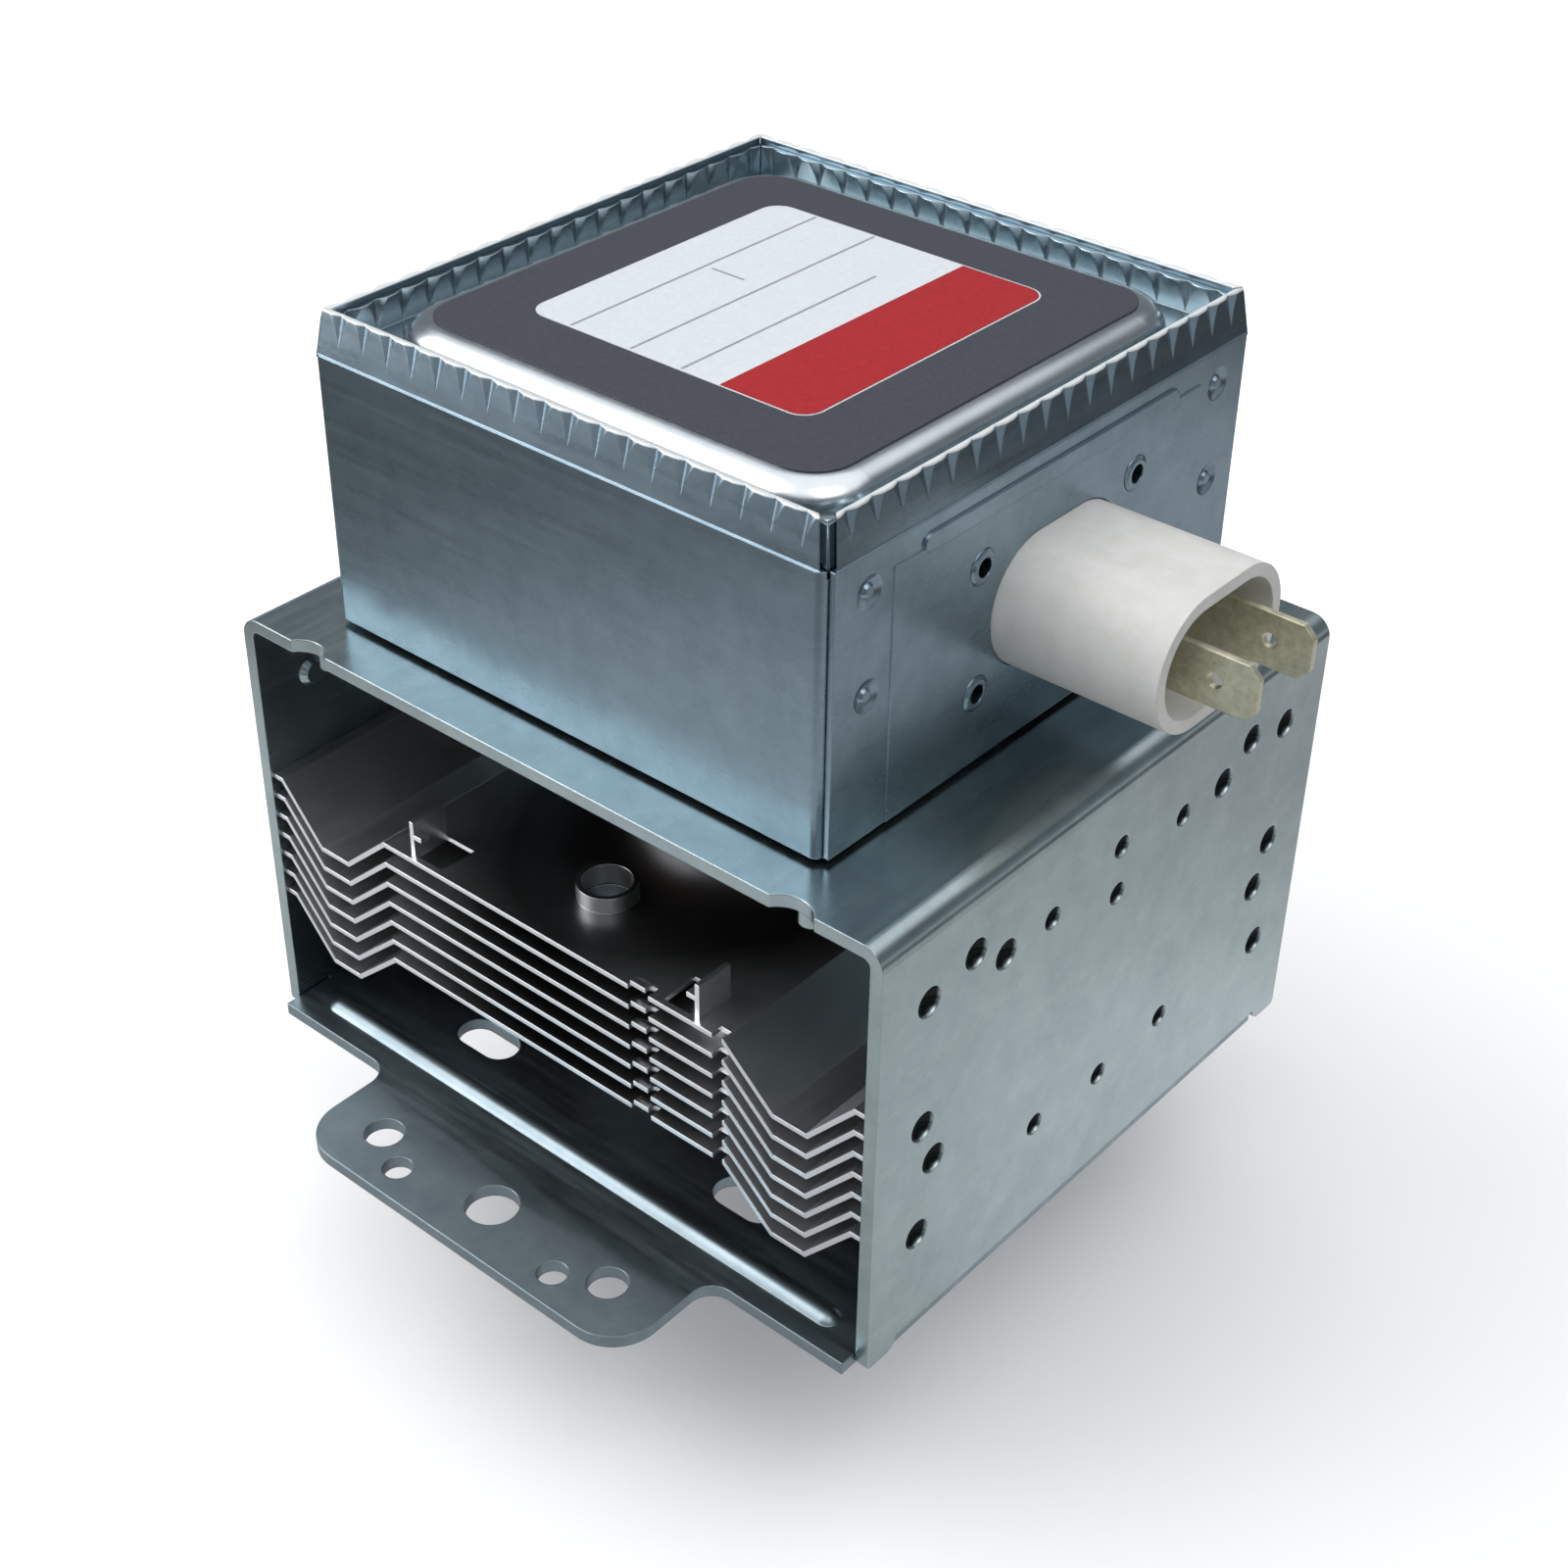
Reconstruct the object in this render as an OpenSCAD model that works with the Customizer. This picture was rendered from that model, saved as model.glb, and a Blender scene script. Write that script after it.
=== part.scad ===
// Magnetron of a microwave oven, with its magnetic yoke, cooling fins and filter box.
// The origin is the centre of the mounting face, on the antenna axis, with +Z towards the filter box.
// The antenna points down, the open sides of the yoke face front and back (-Y and +Y),
// and the connector leaves the filter box towards +X.

/* [Yoke] */
// Width of the yoke across its two walls
yoke_w = 95; // [92:0.5:104]
// Depth of the yoke from its front edge to its back edge
yoke_d = 83; // [79:0.5:92]
// Height of the yoke's top above the mounting face
yoke_h = 57.5; // [55.5:0.5:64]
// Sheet thickness of the yoke
yoke_t = 1.6; // [1.2:0.1:2]
// Outside radius of the two bends at the top
yoke_bend_r = 2.6; // [2.2:0.1:4]
// Width of the rounded lobe at each end of a wall's foot
lobe_w = 5; // [4:0.5:7]
// Radius of the opening that the cathode neck passes through
neck_opening_r = 10; // [9.8:0.1:12]
// Radius of a small dimple pressed into a wall
dimple_r = 1.4; // [0.9:0.1:1.8]
// Radius of a large dimple pressed into a wall
clinch_r = 1.85; // [1.4:0.05:2.1]

/* [Mounting plate] */
// Sheet thickness of the mounting plate
plate_t = 1.6; // [1.2:0.1:2.5]
// How far the plate stands out beyond the yoke's open edges
plate_lip = 2.1; // [0.5:0.1:5]
// Width of each ear
ear_w = 53; // [50:1:60]
// How far an ear reaches beyond the plate's edge
ear_reach = 15; // [12:0.5:20]
// Radius of an ear's outer corners
ear_corner_r = 6; // [2:0.5:8]
// Radius of the fillet where an ear leaves the plate
ear_fillet_r = 3; // [1:0.5:5]
// Radius of the four fixing holes
fixing_hole_r = 2.4; // [1.8:0.1:2.8]
// Spacing of the fixing holes along an ear
fixing_spacing_x = 37; // [34:0.5:40]
// Distance of the fixing holes from an ear's outer edge
fixing_edge = 7; // [5.5:0.5:8]
// Radius of the locating hole in the middle of an ear
locating_hole_r = 3.2; // [2.5:0.1:4]
// Radius of the small pilot holes
pilot_hole_r = 1.8; // [1:0.1:2.2]
// Spacing of the pilot holes along an ear
pilot_spacing_x = 25.6; // [22:0.2:28]
// Distance of the pilot holes from an ear's outer edge
pilot_edge = 4; // [3.5:0.5:6]
// Width of the stiffening bead behind an ear
bead_w = 3.2; // [2:0.2:4]
// Length of the stiffening bead
bead_l = 84; // [60:1:86]

/* [Magnets and anode] */
// Outer radius of the ring magnets
magnet_r = 27.5; // [24:0.5:29]
// Thickness of a ring magnet
magnet_h = 13; // [11:0.5:13.5]
// Radius of a magnet's bore
magnet_bore_r = 10.2; // [9.9:0.1:12]
// Outer radius of the anode cylinder
anode_r = 19.5; // [18.5:0.5:21]
// Wall of the anode cylinder
anode_wall = 2; // [1.5:0.1:2.5]
// Number of vanes in the anode
vane_count = 10; // [8:2:12]
// Thickness of a vane
vane_t = 1.9; // [1.4:0.1:2.1]
// Radius of the space inside the vane tips
vane_tip_r = 4.6; // [4.3:0.1:5]
// Sheet thickness of the end shells
shell_t = 0.6; // [0.4:0.1:0.8]
// Outer radius of the shells' necks
neck_r = 9.4; // [9:0.1:9.6]
// Sheet thickness of the pole pieces
pole_t = 1.4; // [1:0.1:1.6]
// Depth to which a pole piece reaches into the anode
pole_depth = 5; // [4:0.25:5.5]
// Gap between a pole piece and the vanes
pole_gap = 2.4; // [1.6:0.1:3.2]

/* [Cooling fins] */
// Number of fins
fin_count = 7; // [4:1:8]
// Distance from one fin to the next
fin_pitch = 2.86; // [2.6:0.02:3]
// Sheet thickness of a fin
fin_t = 0.6; // [0.4:0.1:0.8]
// Height of the lowest fin above the anode's lower end
fin_first = 1.9; // [1:0.1:2.5]
// Width of the flat middle of a fin
fin_flat_w = 52.6; // [50:0.2:56]
// Depth of the two valleys below the flat middle
fin_drop = 6.3; // [4:0.1:7]
// Width of the slope from the flat middle down to a valley
fin_slope_w = 7; // [5:0.1:8]
// Width of a valley's floor
valley_w = 4.9; // [3:0.1:6]
// Height of the shoulder at the yoke's wall above the flat middle
shoulder_rise = 0.9; // [0:0.1:2]
// Width of the lip that meets the yoke's wall
lip_w = 1.4; // [1:0.1:2]
// How far the fins lie behind the yoke's open edges
fin_inset = 0.4; // [0:0.1:2]
// Outer radius of the extruded locating collars
collar_r = 3.6; // [2.5:0.1:4]
// Height of the upright tabs on the top fin
top_tab_h = 4.5; // [2:0.1:5.5]

/* [Filter box] */
// Width of the filter box, towards the connector
box_w = 72; // [68:0.5:78]
// Depth of the filter box
box_d = 72.6; // [68:0.2:78]
// Height of the crease above the yoke's top
box_h = 33.5; // [31:0.5:40]
// Sheet thickness of the box and its lid
box_t = 0.7; // [0.5:0.05:0.9]
// Offset of the box from the antenna axis, away from the connector
box_shift_x = 1.6; // [0:0.1:4]
// Offset of the box from the antenna axis, towards the back
box_shift_y = 1.3; // [0:0.1:3]
// Height of the crimped rim above the crease
rim_h = 5.2; // [4:0.1:7]
// Height over which the crimp's pinches run out below the rim's edge
crimp_h = 3.6; // [1.5:0.1:4]
// Pitch of the crimp's scallops
scallop_pitch = 3.8; // [3:0.1:5]
// Depth of the crimp's scallops
scallop_depth = 0.46; // [0.2:0.02:0.5]
// Inward lean of the crimped rim, in degrees
rim_lean = 8; // [0:0.5:12]
// Distance from the box's side to the lid's raised middle
lid_margin = 4.6; // [4:0.1:8]
// Corner radius of the lid's raised middle
lid_corner_r = 8; // [5:0.5:12]
// Radius of the lid's rolled edge
lid_roll_r = 3; // [1.5:0.1:3.2]
// Height of the lid's raised middle above the groove
lid_rise = 3.4; // [3.3:0.1:4.2]
// Distance from the label sheet's edge to the lid's rolled edge
label_edge = 0.2; // [0.1:0.1:4]

/* [Connector] */
// Width of the connector housing
conn_w = 22.8; // [21:0.2:25]
// Height of the connector housing
conn_h = 15.4; // [13:0.2:16.4]
// Length of the connector housing outside the box
conn_l = 20.2; // [16:0.1:26]
// Wall of the connector housing
conn_wall = 1.5; // [1:0.1:2]
// Depth of the connector's mouth
mouth_depth = 13.5; // [10:0.5:14]
// Height of the connector's axis above the yoke's top
conn_rise = 16.9; // [16:0.1:18]
// Offset of the connector's axis from the antenna axis, towards the back
conn_shift_y = 2.6; // [0:0.1:4]
// Spacing of the two tabs
tab_spacing = 10.2; // [9.4:0.1:11]
// Width of a tab
tab_w = 6.3; // [4.8:0.1:6.6]
// Thickness of a tab
tab_t = 0.8; // [0.5:0.1:1]
// How far the tabs stand out of the mouth
tab_reach = 7.8; // [5:0.1:12]
// Spacing of the eyelets along the box
eyelet_spacing_y = 27; // [26:0.2:30]
// Spacing of the eyelets up the box
eyelet_spacing_z = 15; // [13:0.2:17]

/* [Antenna] */
// Length of the metal neck below the mounting face
neck_drop = 5.5; // [4.5:0.1:8]
// Length of the antenna's ceramic ring
antenna_ceramic_h = 11; // [8:0.5:14]
// Outer radius of the antenna's ceramic ring
antenna_ceramic_r = 7.6; // [7.3:0.1:8.2]
// Length of the antenna's cap
cap_h = 12.5; // [10:0.5:16]
// Outer radius of the antenna's cap
cap_r = 7.2; // [6.9:0.1:7.3]
// Thickness of the woven gasket ring
gasket_h = 4; // [3:0.1:4.4]

/* [Hidden] */
$fn = 64;

// Clearances between pieces that are fitted together, and how far a cut reaches past a face
fit = 0.05;
loose_fit = 0.15;
over = 1;

// Levels and half widths that the pieces share
wall_x = yoke_w / 2;
wall_in = wall_x - yoke_t;
yoke_y = yoke_d / 2;
under_top = yoke_h - yoke_t;
upper_magnet_z = under_top - magnet_h;
anode_z0 = plate_t + magnet_h + shell_t;
anode_z1 = upper_magnet_z - shell_t;
anode_mid = (anode_z0 + anode_z1) / 2;
anode_in_r = anode_r - anode_wall;
vane_h = anode_z1 - anode_z0 - 2 * (pole_depth + pole_t + pole_gap);

// Places of the dimples in each wall: distance from the middle, then height
edge_dimple_y = yoke_y - 7.8;
top_row_z = yoke_h - 10.6;
foot_row_z = plate_t + 13.2;
clinches = [
    [edge_dimple_y, top_row_z],
    [edge_dimple_y, foot_row_z],
    [edge_dimple_y - 7.6, top_row_z + 1.6],
    [edge_dimple_y - 13, top_row_z - 1.7]
];
fin_clinches = [
    [edge_dimple_y, foot_row_z + 15.4],
    [edge_dimple_y - 2.2, foot_row_z + 9.5]
];
row_dimples = [
    [edge_dimple_y - 21.2, top_row_z - 1.8],
    [edge_dimple_y - 21.2, foot_row_z + 1.2],
    [0, top_row_z + 0.7],
    [0, top_row_z - 5.6],
    [0, foot_row_z + 0.4]
];
clinch_depth = yoke_t * 0.8;
dimple_depth = yoke_t * 0.65;
clinch_boss_h = 0.8;
clinch_boss_r = clinch_r - 0.5;
lobe_corner_r = 0.8;
lobe_back_r = plate_t - fit;
edge_notch_r = 3.6;
edge_notch_depth = 1.5;
edge_notch_x = wall_x - 11.6;
edge_boss_r = 1.5;
edge_boss_h = 2;
edge_boss_gap = 0.3;
edge_boss_y = yoke_y - edge_notch_depth - edge_boss_r - edge_boss_gap;

// Mounting plate
plate_y = yoke_y + plate_lip;
ear_y = plate_y + ear_reach;
tongue_inset = 0.4;
bead_rise = 0.9;
bead_inset = 4.4;
bead_thin = 0.5;
slot_l = 9;
slot_w = 5;
slot_x = 21.5;
slot_y = yoke_y - 10;

// Cooling fins
fin_y = yoke_y - fin_inset;
fin_air = 0.2;
collar_h = fin_pitch - fin_air;
fin_tab_l = 5;
fin_tab_x = fin_flat_w / 2 - 4.5;
fin_tab_edge = 0.8;
fin_tab_lip_l = 1.5;
fin_tab_lip_w = 1.2;
collar_y = fin_y - 10.1;
tongue_x = 14.2;
tongue_w = 2.2;
tongue_l = 1.6;
tongue_rise = 0.8;
tongue_gap = 0.4;
tongue_crest = 0.6;
tongue_root = 0.5;
relief_w = 1.4;
relief_l = 1.5;

// Filter box
box_x0 = -box_shift_x - box_w / 2;
box_x1 = box_x0 + box_w;
box_y0 = box_shift_y - box_d / 2;
box_y1 = box_y0 + box_d;
box_mid = [(box_x0 + box_x1) / 2, (box_y0 + box_y1) / 2];
box_lift = 0.7;
floor_z = yoke_h + box_lift;
crease_z = yoke_h + box_h;
box_fold_r = 1;
pad_r = 26;
seam_w = 9;
slit = 0.3;
corner_slot = 1.1;
corner_seam = 0.08;
plate_edge = 0.9;
crease_step = 0.2;
rim_root = 0.3;
flange_drop = 0.8;
rim_z1 = rim_h / cos(rim_lean);
box_in_x1 = box_x1 - box_t - fit;
lid_drop = 0.1;
lid_rim_drop = 0.8;
lid_floor_z = crease_z - lid_drop;
lid_seat = crease_step + box_t + fit;
lid_top_z = lid_floor_z + box_t + lid_rise;
lid_half_x = box_w / 2 - lid_margin;
lid_half_y = box_d / 2 - lid_margin;
label_t = 0.15;
label_corner_r = max(0.5, lid_corner_r - lid_roll_r - label_edge);
label_w = 2 * (lid_half_x - lid_roll_r - label_edge);
label_d = 2 * (lid_half_y - lid_roll_r - label_edge);

// Connector plate
emboss = 0.14;
emboss_edge = seam_w + 0.8;
emboss_drop = 3;
press_r = 1.9;
press_depth = 0.5;
button_r = 1.15;
button_top_r = 0.6;
button_out = 0.05;
press_edge = 6.1;
press_rows = [crease_z - 4.2, crease_z - 15.9];
rim_bead_l = 44;
rim_bead_h = 2;
rim_bead_drop = 1.6;
rim_bead_out = 0.3;

// Connector and capacitor, along the connector's axis
conn_y = conn_shift_y;
conn_z = yoke_h + conn_rise;
plate_out_x = box_x1 + emboss;
plate_in_x = plate_out_x - box_t;
flange_t = 0.8;
flange_out_x = plate_in_x - fit;
flange_in_x = flange_out_x - flange_t;
flange_w = eyelet_spacing_y + 8;
flange_h = eyelet_spacing_z + 7;
flange_corner_r = 3;
eyelet_r = 1.6;
eyelet_wall = 0.5;
eyelet_head_r = 2.1;
eyelet_head_t = 0.3;
mouth_x = plate_out_x + conn_l;
mouth_floor_x = mouth_x - mouth_depth;
mouth_floor_t = 3;
ceramic_x1 = mouth_floor_x - mouth_floor_t;
ceramic_l = 16;
ceramic_x0 = ceramic_x1 - ceramic_l;
ceramic_h = conn_h - 2 * conn_wall - 1;
ceramic_w = conn_w - 2 * conn_wall - 1;
case_end_t = 1.4;
case_x0 = ceramic_x0 - case_end_t - fit;
rod_r = 1.2;
rod_x0 = case_x0 - 5;
tab_root_x = ceramic_x1;
tab_tip_x = mouth_x + tab_reach;
tab_hole_r = 0.85;
tab_hole_x = tab_tip_x - 4.9;
tab_chamfer = 1.3;
tab_ys = [conn_y - tab_spacing / 2, conn_y + tab_spacing / 2];

// Cathode stem and chokes
neck_top_z = yoke_h + 4;
stem_r = 7.6;
stem_h = 6;
stem_z1 = neck_top_z + stem_h;
terminal_t = 0.6;
terminal_z1 = stem_z1 + terminal_t;
terminal_gap = 0.8;
terminal_edge = 1.4;
terminal_wall = 0.2;
lead_r = 0.7;
side_lead_y = 2.9;
choke_turns = 8;
choke_pitch = 1.7;
choke_r = 3.2;
choke_wire_r = 0.6;
choke_x0 = -3;
choke_x1 = choke_x0 + choke_pitch * (choke_turns - 0.75);
core_r = choke_r - choke_wire_r - loose_fit;
core_end = 1;
choke_foot_drop = 1.5;
choke_tail_bend = 1;
choke_tail_l = 4;

// Interaction space; a vane's outer corners touch the anode cylinder
vane_end = sqrt(anode_in_r * anode_in_r - vane_t * vane_t / 4);
filament_r = 1.7;
filament_wire_r = 0.3;
filament_pitch = 1.2;
filament_inset = 0.7;
filament_h = vane_h - filament_inset;
filament_turns = max(2, floor(filament_h / filament_pitch));
hat_r = 3.7;
hat_t = 0.8;
strap_h = 1;
strap_w = 1;
strap_rs = [6.2, 8];
strap_gap = 0.4;
pole_hole_r = vane_tip_r + 0.1;
pole_flat_r = 8;
pole_rim_w = 2;
lead_hole_r = 1.8;
antenna_lead_r = 0.9;
antenna_lead_x = 11;

// Bends of the antenna lead: distance from the axis, then height above the anode's lower end
antenna_bends = [
    [antenna_lead_x, pole_depth - 1],
    [antenna_lead_x - 0.8, pole_depth - 2.4],
    [4, -1],
    [0.8, -5],
    [0, -8]
];

// Antenna, downwards from the mounting face
shell_seat_r = 6.2;
ceramic_z0 = -neck_drop - antenna_ceramic_h;
ceramic_in_r = antenna_ceramic_r - 2;
cap_z0 = ceramic_z0 - cap_h;
cap_t = 0.5;
cap_edge_r = 1.5;
exhaust_r = 2.4;
exhaust_l = 9;
exhaust_wall = 0.8;
exhaust_floor = 1.5;
exhaust_flange_t = 0.6;
antenna_tip_gap = 0.5;
pinch_w = 1.8 * exhaust_r;
pinch_t = 0.8;
pinch_h = 2;
gasket_mid_r = neck_r + gasket_h / 2 + fit;
gasket_seat_r = gasket_mid_r + gasket_h / 2 + loose_fit;
gasket_seat_depth = 0.5;

FINS = [for (i = [1 : fin_count]) str("cooling_fin_", i)];

// Shared shapes

// Outline of a folded sheet: the points give its lower face and t its thickness, with mitred folds
function along(p, i) = (p[i + 1] - p[i]) / norm(p[i + 1] - p[i]);
function upright(d) = [-d[1], d[0]];
function fold(p, i, t) =
    let (a = upright(along(p, max(i - 1, 0))), b = upright(along(p, min(i, len(p) - 2))))
    p[i] + t * (a + b) / (1 + a * b);
function folded(p, t) = concat(p, [for (i = [len(p) - 1 : -1 : 0]) fold(p, i, t)]);

// Centre points and ring directions of a round wire that follows a path
function heading(p, i) =
    let (d = p[min(i + 1, len(p) - 1)] - p[max(i - 1, 0)]) d / norm(d);
function square_to(n, d) = let (m = n - (n * d) * d) m / norm(m);
function sides_of(p, start) = [
    for (i = 0, n = square_to(start, heading(p, 0));
         i < len(p);
         i = i + 1, n = square_to(n, heading(p, min(i, len(p) - 1))))
    n
];
module wire(path, r, start, corners = 6) {
    normals = sides_of(path, start);
    last = len(path) - 1;
    points = [
        for (i = [0 : last])
        let (n = normals[i], b = cross(heading(path, i), n))
        for (k = [0 : corners - 1])
        path[i] + r * (cos(360 * k / corners) * n + sin(360 * k / corners) * b)
    ];
    walls = [
        for (i = [0 : last - 1])
        for (k = [0 : corners - 1])
        let (a = i * corners, b = a + corners, m = (k + 1) % corners)
        each [[a + k, b + k, b + m], [a + k, b + m, a + m]]
    ];
    first_end = [for (k = [0 : corners - 1]) k];
    last_end = [for (k = [corners - 1 : -1 : 0]) last * corners + k];
    polyhedron(points, concat([first_end], walls, [last_end]));
}

// Rectangle with round corners, centred
module round_rect(w, d, r) {
    square([w - 2 * r, d], center = true);
    square([w, d - 2 * r], center = true);
    for (x = [-1, 1], y = [-1, 1])
        translate([x * (w / 2 - r), y * (d / 2 - r)])
            circle(r);
}

// Slot with round ends, centred, lying along the first axis
module stadium(w, h) {
    square([w - h, h], center = true);
    for (s = [-1, 1])
        translate([s * (w - h) / 2, 0])
            circle(d = h);
}

// Corner filler: a square with a round bite, for fillets and rounded-off corners
module corner_bite(r) {
    difference() {
        square(r);
        translate([r, r])
            circle(r);
    }
}

// Profiles drawn across the box, carried along the connector's axis from x0 to x1
module along_x(x0, x1) {
    translate([x0, 0, 0])
        rotate([90, 0, 90])
            linear_extrude(x1 - x0)
                children();
}

// Places a profile on the connector's axis
module on_connector() {
    translate([conn_y, conn_z])
        children();
}

// Places of the four eyelets about the connector's axis
module at_eyelets() {
    for (y = [-1, 1], z = [-1, 1])
        translate([0, conn_y + y * eyelet_spacing_y / 2, conn_z + z * eyelet_spacing_z / 2])
            rotate([0, 90, 0])
                children();
}

// Places of the four pressed joints that hold the connector plate to the box's seams
module at_presses() {
    for (y = [box_y0 + press_edge, box_y1 - press_edge], z = press_rows)
        translate([box_x1, y, z])
            children();
}

// Dimple pressed into a flat sheet that faces +X, as a ball of the given rim radius and depth
function ball_r(r, depth) = (r * r + depth * depth) / (2 * depth);
module dimple(r, depth) {
    translate([ball_r(r, depth) - depth, 0, 0])
        sphere(ball_r(r, depth));
}

// One side of the crimped rim: a flat sheet that leans inwards from the crease and is mitred at the corners.
// Its free face, +1 outside or -1 inside, is pinched into scallops, deepest at the edge and running out below
function scallops(l) = max(4, round(l / scallop_pitch));
module rim_side(l, z0, z1, inset, face, cut_start, cut_end) {
    n = scallops(l);
    pitch = l / n;
    r = pitch * pitch / (8 * scallop_depth) + scallop_depth / 2;
    reach = inset + box_t + 2 * over;
    intersection() {
        rotate([-rim_lean, 0, 0])
            intersection() {
                translate([-over, inset, z0])
                    cube([l + 2 * over, box_t, z1 - z0]);
                translate([0, inset + (1 - face) * box_t / 2, z1])
                    rotate([-face * atan(scallop_depth / crimp_h), 0, 0])
                        translate([0, 0, -rim_h - 2 * over])
                            linear_extrude(rim_h + 3 * over)
                                for (k = [0 : n - 1])
                                    translate([(k + 0.5) * pitch, face * r])
                                        circle(r);
            }
        translate([0, 0, -over])
            linear_extrude(rim_h + 3 * over)
                polygon([
                    [cut_start - over, -over],
                    [l - cut_end + over, -over],
                    [l - cut_end - reach, reach],
                    [cut_start + reach, reach]
                ]);
    }
}

// The rim's sides in their places: front, connector side, back and far side
module front_rim() {
    translate([box_x0, box_y0, crease_z])
        children();
}
module connector_rim() {
    translate([box_x1, box_y0, crease_z])
        rotate(90)
            children();
}
module back_rim() {
    translate([box_x1, box_y1, crease_z])
        rotate(180)
            children();
}
module far_rim() {
    translate([box_x0, box_y1, crease_z])
        rotate(270)
            children();
}

// Upright section with two round upper corners, and a block with a rolled top edge made of it
module roll_section(w, h, r) {
    translate([-w / 2, 0])
        square([w, h - r]);
    translate([-w / 2 + r, 0])
        square([w - 2 * r, h]);
    for (s = [-1, 1])
        translate([s * (w / 2 - r), h - r])
            intersection() {
                circle(r);
                translate([-r, 0])
                    square([2 * r, r]);
            }
}
module rolled_block(half_x, half_y, corner, roll, h) {
    rotate([90, 0, 90])
        linear_extrude(2 * (half_x - corner), center = true)
            roll_section(2 * half_y, h, roll);
    rotate([90, 0, 0])
        linear_extrude(2 * (half_y - corner), center = true)
            roll_section(2 * half_x, h, roll);
    for (x = [-1, 1], y = [-1, 1])
        translate([x * (half_x - corner), y * (half_y - corner), 0])
            rotate_extrude()
                intersection() {
                    roll_section(2 * corner, h, roll);
                    square([corner, h]);
                }
}

// Ring about the axis, from z0 to z1
module ring(r_out, r_in, z0, z1) {
    difference() {
        translate([0, 0, z0])
            cylinder(r = r_out, h = z1 - z0);
        translate([0, 0, z0 - over])
            cylinder(r = r_in, h = z1 - z0 + 2 * over);
    }
}

// Yoke and mounting plate

module yoke_sheet() {
    difference() {
        rotate([90, 0, 0])
            linear_extrude(yoke_d, center = true)
                difference() {
                    roll_section(yoke_w, yoke_h, yoke_bend_r);
                    translate([0, -over])
                        roll_section(2 * wall_in, under_top + over, yoke_bend_r - yoke_t);
                }
        // foot of the walls, cut away over the plate between the lobes
        translate([-wall_x - over, -yoke_y + lobe_w, -over])
            cube([yoke_w + 2 * over, yoke_d - 2 * lobe_w, plate_t + over]);
        // round corners of the lobes
        for (e = [-1, 1])
            scale([1, e, 1])
                translate([-wall_x - over, -yoke_y, 0])
                    rotate([90, 0, 90])
                        linear_extrude(yoke_w + 2 * over) {
                            corner_bite(lobe_corner_r);
                            translate([lobe_w, 0])
                                mirror([1, 0])
                                    corner_bite(lobe_back_r);
                        }
    }
}

// Dimples of one wall, mirrored about the middle of the wall
module at_places(places) {
    for (p = places, e = [-1, 1])
        if (e > 0 || p[0] > 0)
            translate([wall_x, e * p[0], p[1]])
                children();
}

module yoke() {
    color("lightslategray")
        difference() {
            union() {
                yoke_sheet();
                // bosses that the large dimples raise inside, clear of the fins
                for (turn = [0, 180])
                    rotate(turn)
                        at_places(clinches)
                            translate([-yoke_t, 0, 0])
                                rotate([0, -90, 0])
                                    cylinder(r1 = clinch_r, r2 = clinch_boss_r, h = clinch_boss_h);
                // studs under the top, behind the notches of its edges
                for (x = [-1, 1], y = [-1, 1])
                    translate([x * edge_notch_x, y * edge_boss_y, under_top - edge_boss_h])
                        cylinder(r = edge_boss_r, h = edge_boss_h + yoke_t / 2);
            }
            for (turn = [0, 180])
                rotate(turn) {
                    at_places(concat(clinches, fin_clinches))
                        dimple(clinch_r, clinch_depth);
                    at_places(row_dimples)
                        dimple(dimple_r, dimple_depth);
                }
            // shallow arched notches in the open edges of the top
            for (x = [-1, 1], y = [-1, 1])
                translate([x * edge_notch_x, y * (yoke_y + edge_notch_r - edge_notch_depth), under_top - over])
                    cylinder(r = edge_notch_r, h = yoke_t + 2 * over);
            translate([0, 0, under_top - over])
                cylinder(r = neck_opening_r, h = yoke_t + 2 * over);
        }
}

module ear_outline() {
    root = plate_y - over;
    translate([-ear_w / 2, root])
        square([ear_w, ear_y - ear_corner_r - root]);
    translate([-ear_w / 2 + ear_corner_r, root])
        square([ear_w - 2 * ear_corner_r, ear_y - root]);
    for (s = [-1, 1])
        translate([s * (ear_w / 2 - ear_corner_r), ear_y - ear_corner_r])
            circle(ear_corner_r);
    translate([ear_w / 2, plate_y])
        corner_bite(ear_fillet_r);
    translate([-ear_w / 2, plate_y])
        mirror([1, 0])
            corner_bite(ear_fillet_r);
}

module bead_bar(r, l) {
    rotate([0, 90, 0])
        cylinder(r = r, h = l, center = true);
    for (s = [-1, 1])
        translate([s * l / 2, 0, 0])
            sphere(r);
}

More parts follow.
